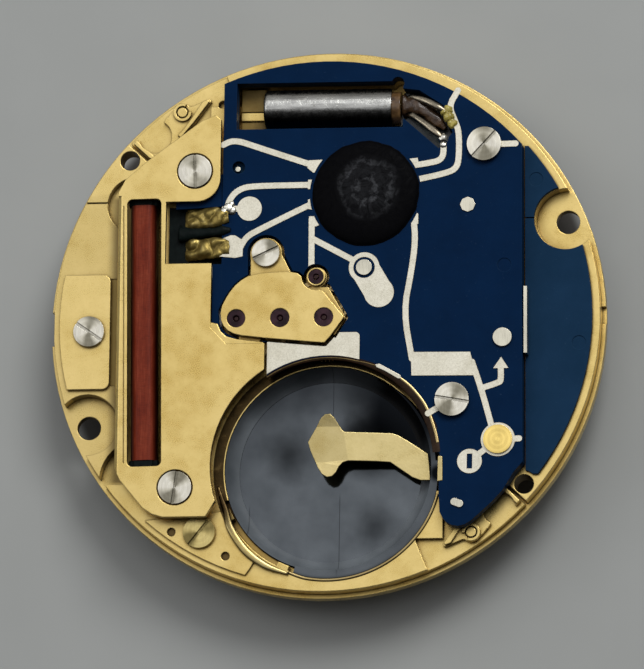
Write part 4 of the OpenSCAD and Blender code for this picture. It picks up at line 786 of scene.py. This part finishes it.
def slab_piece(name, look, outline, low, high, bevel):
    """A flat piece with a given outline, its edges rounded by bevel."""
    count = len(outline)
    verts = [(x, y, low) for x, y in outline] + [(x, y, high) for x, y in outline]
    faces = [tuple(reversed(range(count))), tuple(range(count, 2 * count))]
    faces += [(i, (i + 1) % count, count + (i + 1) % count, count + i) for i in range(count)]
    made = piece(name, look, verts, faces, smooth=False)
    round_edges(made, bevel)
    return made


def ring_piece(name, look, profile, start=0.0, end=360.0, steps=120):
    """A band round the well; profile gives (radius, height) pairs for an angle."""
    rows = []
    for i in range(steps + 1):
        a = math.radians(start + (end - start) * i / steps)
        for r, z in profile(a):
            rows.append((WELL[0] + r * math.cos(a), WELL[1] + r * math.sin(a), z))
    return piece(name, look, rows, grid_faces(steps + 1, len(profile(0.0))))


# Chip
def chip_blob():
    """The potted chip: a low dome with steep uneven flanks and an outline that wanders a little."""
    low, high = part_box("chip_cap")
    radius = (high.x - low.x) / 2 / MM
    height = (high.z - low.z) / MM
    rows, around = 34, 140
    verts = []
    for i in range(rows):
        share = (i + 0.001) / (rows - 1)
        for j in range(around):
            a = 2 * math.pi * j / around
            edge = radius * (0.985 + 0.03 * wobble(math.cos(a), math.sin(a), 0, 0.5, 3)
                             + 0.012 * wobble(math.cos(a), math.sin(a), 0, 0.12, 8))
            x = CHIP[0] + edge * share * math.cos(a)
            y = CHIP[1] + edge * share * math.sin(a)
            dome = height * (max(0.0, 1 - share ** 4.5) ** 0.55)
            lift = dome * (0.93 + 0.05 * wobble(x, y, 0, 0.8, 5) + 0.02 * wobble(x, y, 0, 0.2, 2))
            verts.append((x, y, low.z / MM + lift))
    faces = grid_faces(rows, around, wrap=True)
    faces.append(tuple((rows - 1) * around + k for k in reversed(range(around))))
    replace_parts(piece("chip_blob", LOOKS["chip_black"], verts, faces), "chip_cap")


chip_blob()


# Coil terminals
def foil_strip(name, low_y, high_y, heights, seed, taper):
    """A crinkled foil from the terminal strip up to the board."""
    path = smooth_path([(x, 0, z) for x, z in heights], 12)
    middle = (low_y + high_y) / 2
    columns = 22
    verts = []
    for p in path:
        share = (p.x - path[0].x) / (path[-1].x - path[0].x)
        narrow = 1 - taper * max(0.0, share - 0.75) * 4
        for c in range(columns):
            across = c / (columns - 1)
            y = middle + (across - 0.5) * (high_y - low_y) * narrow
            y += 0.04 * wobble(p.x, across * 3, 0, 0.3, seed)
            crinkle = abs(wobble(p.x, y, 0, 0.6, seed)) * 0.26 + abs(wobble(p.x, y, 4, 0.3, seed)) * 0.05
            edge = 0.12 * (2 * across - 1) ** 4
            verts.append((p.x + 0.05 * wobble(p.x, y, 9, 0.3, seed), y, p.z + crinkle - edge))
    made = piece(name, LOOKS["foil"], verts, grid_faces(len(path), columns))
    thicken(made, 0.04)
    return made


foils = [
    foil_strip("terminal_foil_upper", 4.42, 5.36,
               [(-6.65, 1.45), (-6.3, 1.62), (-5.7, 1.9), (-5.1, 2.08), (-4.55, 2.14)], seed=1, taper=0.5),
    foil_strip("terminal_foil_lower", 2.95, 3.9,
               [(-6.62, 1.45), (-6.3, 1.66), (-5.7, 1.9), (-5.1, 2.06), (-4.5, 2.15)], seed=7, taper=0.3),
]
for made in foils:
    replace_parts(made, "terminal_foils")
tube("terminal_finger", LOOKS["bobbin"],
     [(-6.9, 4.2, 1.6), (-6.3, 4.18, 1.8), (-5.4, 4.2, 2.0), (-4.85, 4.24, 2.14), (-4.45, 4.26, 2.14)],
     [0.4, 0.26, 0.2, 0.22, 0.1], flat=0.5, rough=0.2, seed=2)

# Crystal: its leads, glue and solder, a dark sheet of painted shade under the leads, and the rests under it,
# mostly brown painted shade
DARK_LEAD = metal("lead_dark", (0.3, 0.26, 0.19), 0.14, 0.3, scuff=1.4, brush=(1, 1, 1))
LEAD_RADII = [0.1, 0.15, 0.17, 0.16, 0.1]
leads = [
    tube("lead_upper", DARK_LEAD,
         [(3.5, 10.42, 1.45), (3.95, 10.55, 1.75), (4.64, 10.27, 2.08), (5.2, 9.95, 2.22), (5.62, 9.7, 2.2)],
         LEAD_RADII, flat=0.7, rough=0.15, seed=3),
    tube("lead_lower", DARK_LEAD,
         [(3.5, 9.82, 1.45), (3.95, 9.68, 1.75), (4.62, 9.16, 2.05), (5.2, 8.68, 2.2), (5.5, 8.38, 2.17)],
         LEAD_RADII, flat=0.7, rough=0.15, seed=5),
]
for made in leads:
    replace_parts(made, "quartz_leads")
GLUE = plastic("lead_glue", (0.02, 0.009, 0.004), (0.075, 0.04, 0.016), 0.3, size=0.35, relief=0.02)
tube("lead_glue_drop", GLUE,
     [(3.55, 10.15, 1.55), (4.1, 10.12, 1.75), (4.7, 9.75, 1.85), (5.2, 9.3, 1.85), (5.5, 9.0, 1.8)],
     [0.55, 0.42, 0.3, 0.26, 0.12], flat=0.5, rough=0.5, seed=11)
# A dark sheet of painted shade in the opening under the leads
LEAD_SHADE_SHEET = plastic("lead_shade_sheet", (0.002, 0.005, 0.005), (0.004, 0.014, 0.012), 0.3, size=0.5, relief=0.01)
slab_piece("lead_shade_sheet", LEAD_SHADE_SHEET,
           [(3.3, 9.1), (3.6, 9.4), (5.22, 8.05), (5.85, 8.75), (5.47, 9.6), (5.42, 10.02), (4.3, 10.76),
            (3.5, 10.86)], 1.2, 1.42, 0.05)

FLUX = plastic("solder_flux", (0.22, 0.17, 0.03), (0.5, 0.42, 0.1), 0.2, size=0.25, relief=0.02,
               Specular_IOR_Level=0.5)
BOARD_TOP = 2.1
joints = [
    blob("solder_upper", FLUX,
         [(5.66, 9.82, 0.24, 0.2), (5.72, 9.5, 0.26, 0.24), (5.88, 9.2, 0.24, 0.17),
          (5.5, 9.72, 0.18, 0.22)], BOARD_TOP, seed=4),
    blob("solder_lower", LOOKS["solder"],
         [(5.44, 8.46, 0.24, 0.2), (5.47, 8.15, 0.16, 0.1)], BOARD_TOP, seed=6),
    blob("solder_foil", LOOKS["solder"],
         [(-4.56, 5.3, 0.26, 0.16), (-4.4, 5.2, 0.22, 0.12), (-4.78, 5.12, 0.2, 0.14),
          (-4.42, 5.5, 0.14, 0.09)], BOARD_TOP, seed=9),
]
for made in joints:
    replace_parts(made, "solder_joints")

# Brown painted shade: the plate's gold in shadow past the crystal's end; the bar between is plain gold
SHADED_REST = plastic("quartz_rest", (0.2, 0.125, 0.025), (0.33, 0.225, 0.065), 0.4, size=0.7, relief=0.008,
               Specular_IOR_Level=0.15)
REST_Z = 0.8


def rest_under_crystal(name, look, left, right, low_y, high_y, top):
    """A low block on the plate, seen past the crystal's end."""
    outline = [(left, low_y), (right, low_y), (right, high_y), (left, high_y)]
    slab_piece(name, look, outline, REST_Z, top, 0.04)


rest_under_crystal("quartz_rest_upper", SHADED_REST, -4.18, -3.02, 10.13, 11.2, 1.0)
rest_under_crystal("quartz_rest_bar", LOOKS["gold"], -4.2, -3.0, 9.68, 10.1, 1.05)
rest_under_crystal("quartz_rest_lower", SHADED_REST, -4.18, -3.02, 9.1, 9.66, 0.96)

# Parts of the board under the cover, and tabs at the well
slab_piece("board_tongue", LOOKS["board_blue"],
           [(-5.28, 2.64), (-5.28, -0.38), (-4.78, -0.92), (-4.62, -0.74), (-4.9, -0.3), (-4.97, 0.44),
            (-4.66, 1.13), (-4.75, 1.3), (-4.75, 2.64)], 1.9, 2.09, 0.02)
slab_piece("board_corner", LOOKS["board_blue"],
           [(-7.05, 5.3), (-4.78, 5.42), (-4.78, 6.95), (-5.3, 6.95), (-6.1, 5.7), (-7.05, 5.7)],
           1.75, 1.96, 0.02)
slab_piece("well_tab_gold", SPRING_LOOK,
           [(5.42, -6.62), (5.64, -6.66), (5.66, -7.82), (5.4, -7.86)], 1.9, 2.13, 0.04)
slab_piece("well_tab_bright", LOOKS["track_silver"],
           [(2.42, -2.26), (2.62, -2.22), (3.62, -2.78), (3.66, -2.95), (3.5, -2.95), (2.9, -2.58),
            (2.5, -2.4)], 2.06, 2.15, 0.02)


# Contact spring
# Its outline in the picture, and the lines there along which its sheet is bent
SPRING_PX = [(308, 442), (317, 426), (321, 418), (325, 414), (330, 413.4), (334, 417), (338, 423), (341, 428),
             (344, 431.4), (360, 432), (376, 432.4), (392, 433), (398, 435), (410, 442), (428, 453.6),
             (429.2, 466), (430, 480), (420, 480), (412, 477), (401, 469.5), (390, 462), (376, 461.2),
             (362, 460.8), (348, 460.6), (343, 462), (339, 466), (336, 472), (332, 476), (327, 477),
             (322, 474), (318, 468), (315, 461), (311, 452)]
SPRING_LEFT_PX, SPRING_RIGHT_PX = 300, 440
SPRING_TOP_PX, SPRING_FOOT_PX = 400, 500
HEAD_RIGHT_PX = 342
HEAD_BENDS_PX = (426.5, 462.5)
BLADE_BENDS_PX = (322, 398, 412)
# Where the blade starts to rise, and how far it goes on rising
BLADE_ROOT_PX, BLADE_RISE_PX = 428, 90
# Heights of the blade's root, of its rise and of the middle of the spring
BLADE_ROOT_Z, BLADE_RISE, SPRING_MIDDLE_Z = 1.05, 0.45, 1.5
# How far the head's two ends are bent up, and over how much of the picture
UPPER_LIFT, UPPER_LIFT_PX = 0.1, 13
LOWER_LIFT, LOWER_LIFT_PX = 0.07, 14


def spring_point(px, py):
    """The point of the spring's sheet at a place of the picture."""
    z = BLADE_ROOT_Z + BLADE_RISE * min(1.0, max(0.0, (BLADE_ROOT_PX - px) / BLADE_RISE_PX))
    if px < HEAD_RIGHT_PX:
        z += UPPER_LIFT * max(0.0, (HEAD_BENDS_PX[0] - py) / UPPER_LIFT_PX) ** 1.2
        z += LOWER_LIFT * max(0.0, (py - HEAD_BENDS_PX[1]) / LOWER_LIFT_PX) ** 1.2
    return (*seen_at(px, py, z), z)


def cut_along(mesh, start, end):
    """Cuts a mesh with the upright plane through two places of the picture."""
    a, b = (Vector((*seen_at(*place, SPRING_MIDDLE_Z), 0)) for place in (start, end))
    normal = Vector((a.y - b.y, b.x - a.x, 0)).normalized()
    bmesh.ops.bisect_plane(mesh, geom=mesh.verts[:] + mesh.edges[:] + mesh.faces[:], dist=1e-4,
                           plane_co=a, plane_no=normal)


def spring_blade():
    """The contact spring: it rises towards its arrow head, whose two rounded ends are bent."""
    mesh = bmesh.new()
    corners = [mesh.verts.new(spring_point(*p)) for p in SPRING_PX]
    mesh.faces.new(corners[::-1])
    for py in HEAD_BENDS_PX:
        cut_along(mesh, (SPRING_LEFT_PX, py), (SPRING_RIGHT_PX, py))
    for px in BLADE_BENDS_PX:
        cut_along(mesh, (px, SPRING_TOP_PX), (px, SPRING_FOOT_PX))
    bmesh.ops.recalc_face_normals(mesh, faces=mesh.faces)
    mesh.verts.index_update()
    points = [tuple(v.co) for v in mesh.verts]
    faces = [tuple(v.index for v in f.verts) for f in mesh.faces]
    mesh.free()
    made = piece("battery_spring_blade", SPRING_LOOK, points, faces, smooth=False)
    thicken(made, 0.09, 0)
    round_edges(made, 0.03, 50)
    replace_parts(made, "battery_spring")


spring_blade()

# Corner of the cover beside the bridge, as the picture shows it
CORNER_PX = [(210.09, 322.09), (217.76, 323.62), (220.82, 331.29), (226.45, 336.15), (236.67, 338.96),
             (263.25, 342.02), (263.25, 346.62), (223.89, 346.62), (210.09, 346.62)]
COVER_TOP = 2.3
corner = [seen_at(*p, COVER_TOP) for p in reversed(CORNER_PX)]
slab_piece("cover_corner", LOOKS["gold"], corner, 2.02, 2.296, 0.03)


# Edge of the battery well
# Matt copy of the film for its turned-up edge: its colour is painted light, matching how the glossy film's
# reflection looks
FILM_EDGE = film("film_edge", metallic=0.0, low=(0.082, 0.093, 0.101), high=(0.13, 0.145, 0.156),
                 gloss=(0.4, 0.5), shine=0.1, fade=0.0)
WELL_SHADE = plastic("well_shade", (0.012, 0.006, 0.003), (0.035, 0.018, 0.008), 0.4, size=0.6, relief=0.006,
                     Specular_IOR_Level=0.1)
LIP_LOOK = gold_plated("well_lip_gold", (0.42, 0.32, 0.14), 0.24, 0.38, edge=0.03)
DARK_LIP = metal("well_lip_brown", (0.16, 0.11, 0.045), 0.3, 0.45, scuff=1.2, brush=(1, 1, 1))
# The film's upper edge: its least radius, what it reaches farther out on one side, and that side
LIP_RADIUS, LIP_EXTRA, LIP_SIDE = 4.87, 0.45, math.radians(-45)
# The film's turned-up edge, as (radius, height) pairs
FILM_PROFILE = ((4.27, 0.476), (4.4, 0.503), (4.58, 0.62), (4.74, 0.87), (4.85, 1.2))
# The outer edge of the band round the well, on the board, as (degrees, radius) pairs
BAND_EDGE = ((0, 5.33), (11, 5.36), (21, 5.38), (32, 5.44), (44, 5.42), (52, 5.37), (64, 5.24), (75, 5.14),
             (125, 5.12))


def lip_reach(a):
    """How far the film's upper edge reaches over the plate: furthest to the lower right."""
    fade = min(1.0, max(0.0, (math.cos(a - LIP_SIDE) + 0.35) / 0.9))
    return LIP_RADIUS + LIP_EXTRA * fade


def outer_reach(a):
    """The radius of the band's outer edge at an angle."""
    here = math.degrees(a)
    for (a0, r0), (a1, r1) in zip(BAND_EDGE, BAND_EDGE[1:]):
        if here <= a1:
            return r0 + (r1 - r0) * max(0.0, here - a0) / (a1 - a0)
    return BAND_EDGE[-1][1]


def beside(reach, *profile):
    """A profile whose radii count from an edge that moves in and out round the well."""
    return lambda a: [(reach(a) + r, z) for r, z in profile]


ring_piece("film_turned_up", FILM_EDGE, lambda a: FILM_PROFILE)
ring_piece("film_lip", LOOKS["film"],
           lambda a: ((4.8, 1.256), (4.84, 1.262), (lip_reach(a) - 0.16, 1.264),
                      (lip_reach(a) - 0.13, 1.254)), start=-108, end=62)
ring_piece("well_lip", LIP_LOOK,
           beside(lip_reach, (-0.13, 1.25), (-0.11, 1.3), (-0.01, 1.31), (0.03, 1.25)), start=-112, end=-14)
ring_piece("well_edge_dark", WELL_SHADE,
           lambda a: ((5.0, 2.08), (5.02, 2.104), (outer_reach(a), 2.106), (outer_reach(a) + 0.02, 2.09)),
           start=6, end=124, steps=70)
ring_piece("well_edge_bright", LIP_LOOK,
           beside(outer_reach, (-0.13, 2.1), (-0.11, 2.12), (-0.03, 2.12), (0, 2.1)),
           start=11, end=60, steps=40)
ring_piece("well_edge_thin", DARK_LIP,
           beside(outer_reach, (-0.07, 2.1), (-0.06, 2.12), (-0.02, 2.12), (0, 2.1)),
           start=60, end=124, steps=50)
tube("contact_strip", SPRING_LOOK,
     [(-4.95, -7.8, 1.42), (-4.77, -8.38, 1.44), (-4.57, -8.95, 1.46), (-4.38, -9.67, 1.48),
      (-3.98, -10.39, 1.5), (-3.42, -11.05, 1.5), (-2.6, -11.62, 1.48), (-1.6, -11.98, 1.42)],
     [0.07, 0.1, 0.14, 0.17, 0.18, 0.18, 0.14, 0.06], flat=0.35, rough=0.06, seed=21)

# A dark gold strip of painted shade over the stem's channel
CHANNEL_SHADE_LOOK = gold_plated("channel_gold", (0.19, 0.135, 0.045), 0.3, 0.42)
slab_piece("stem_channel_shade_strip", CHANNEL_SHADE_LOOK,
           [(-10.45, -3.1), (-9.68, -3.1), (-9.68, 2.3), (-10.45, 2.3)], 1.15, 1.22, 0.02)


# Camera
tilted = Matrix.Rotation(TILT, 4, Vector((-TILT_WAY.y, TILT_WAY.x, 0)))
aim = Vector(((FRAME_W / 2 - CENTRE_PX[0]) / PIXELS_PER_MM, (CENTRE_PX[1] - FRAME_H / 2) / PIXELS_PER_MM,
              DISTANCE)) * MM
lens = bpy.data.cameras.new("camera")
lens.lens = PIXELS_PER_MM * SENSOR * DISTANCE / FRAME_H
lens.sensor_width = SENSOR
lens.clip_start = 0.1
lens.clip_end = 10
camera = bpy.data.objects.new("camera", lens)
camera.matrix_world = tilted @ Matrix.Translation(aim)
bpy.context.scene.collection.objects.link(camera)
bpy.context.scene.camera = camera


# Floor: half its width in metres
FLOOR_HALF = 0.6
# The shade under the movement: x, y, radius and blur in millimetres
MOVEMENT_SHADE = (-0.28, 0.46, 12.6, 0.35)


def floor_paper():
    """Pale paper with faint clouds, dark where the movement shades it."""
    m = Mat("floor_paper", (0.34, 0.345, 0.335), 0.0, 0.8)
    paper = m.ramp(m.noise(9, 3), (0.3, (0.329, 0.339, 0.324)), (0.7, (0.354, 0.364, 0.349)))
    m.colour(m.mix(m.times(m.spot(*MOVEMENT_SHADE), 0.93), paper, (0.02, 0.016, 0.012)))
    return m.mat


floor_z = cad_low[2]
corners = [(x * FLOOR_HALF, y * FLOOR_HALF, floor_z) for x, y in ((-1, -1), (1, -1), (1, 1), (-1, 1))]
mesh = bpy.data.meshes.new("floor")
mesh.from_pydata(corners, [], [(0, 1, 2, 3)])
mesh.materials.append(floor_paper())
floor = bpy.data.objects.new("floor", mesh)
bpy.context.scene.collection.objects.link(floor)


# Studio
SKY_LOBE = Vector((-0.18, 0.3, 0.93))
SKY_STRENGTH = 0.95


def cool(*stops):
    """Stops of slightly blue greys for a ramp."""
    return [(place, (grey, grey, grey * 1.02)) for place, grey in stops]


def studio_sky():
    """A soft sky, brightest nearly overhead and dark towards the lower side of the photograph."""
    world = bpy.data.worlds.new("studio")
    world.use_nodes = True
    sky = Tree(world.node_tree)
    outward = sky.node("TexCoord").outputs["Generated"]
    toward = sky.node("VectorMath", operation="DOT_PRODUCT")
    sky.put(toward.inputs[0], outward)
    sky.put(toward.inputs[1], SKY_LOBE.normalized())
    lobe = sky.ramp(toward.outputs["Value"], *cool((0.0, 0.05), (0.35, 0.28), (0.75, 0.6), (0.97, 1.0)))
    split = sky.node("SeparateXYZ")
    sky.put(split.inputs[0], outward)
    level = sky.math("ADD", sky.times(split.outputs["Y"], 0.5), 0.5)
    lower_side = sky.ramp(level, *cool((0.0, 0.05), (0.3, 0.12), (0.52, 1.0)))
    background = world.node_tree.nodes["Background"]
    sky.put(background.inputs["Color"], sky.mix(1.0, lobe, lower_side, "MULTIPLY"))
    background.inputs["Strength"].default_value = SKY_STRENGTH
    return world


def lamp(name, place, size, power):
    """A round lamp at a place in millimetres, turned to the movement."""
    data = bpy.data.lights.new(name, "AREA")
    data.shape = "DISK"
    data.size = size * MM
    data.energy = power
    made = bpy.data.objects.new(name, data)
    made.location = Vector(place) * MM
    made.rotation_euler = (-Vector(place)).to_track_quat("-Z", "Y").to_euler()
    bpy.context.scene.collection.objects.link(made)


bpy.context.scene.world = studio_sky()
lamp("key", (90, 170, 230), 150, 0.475)
lamp("fill", (-180, 60, 160), 120, 0.06)

view = bpy.context.scene.view_settings
view.view_transform = "Standard"
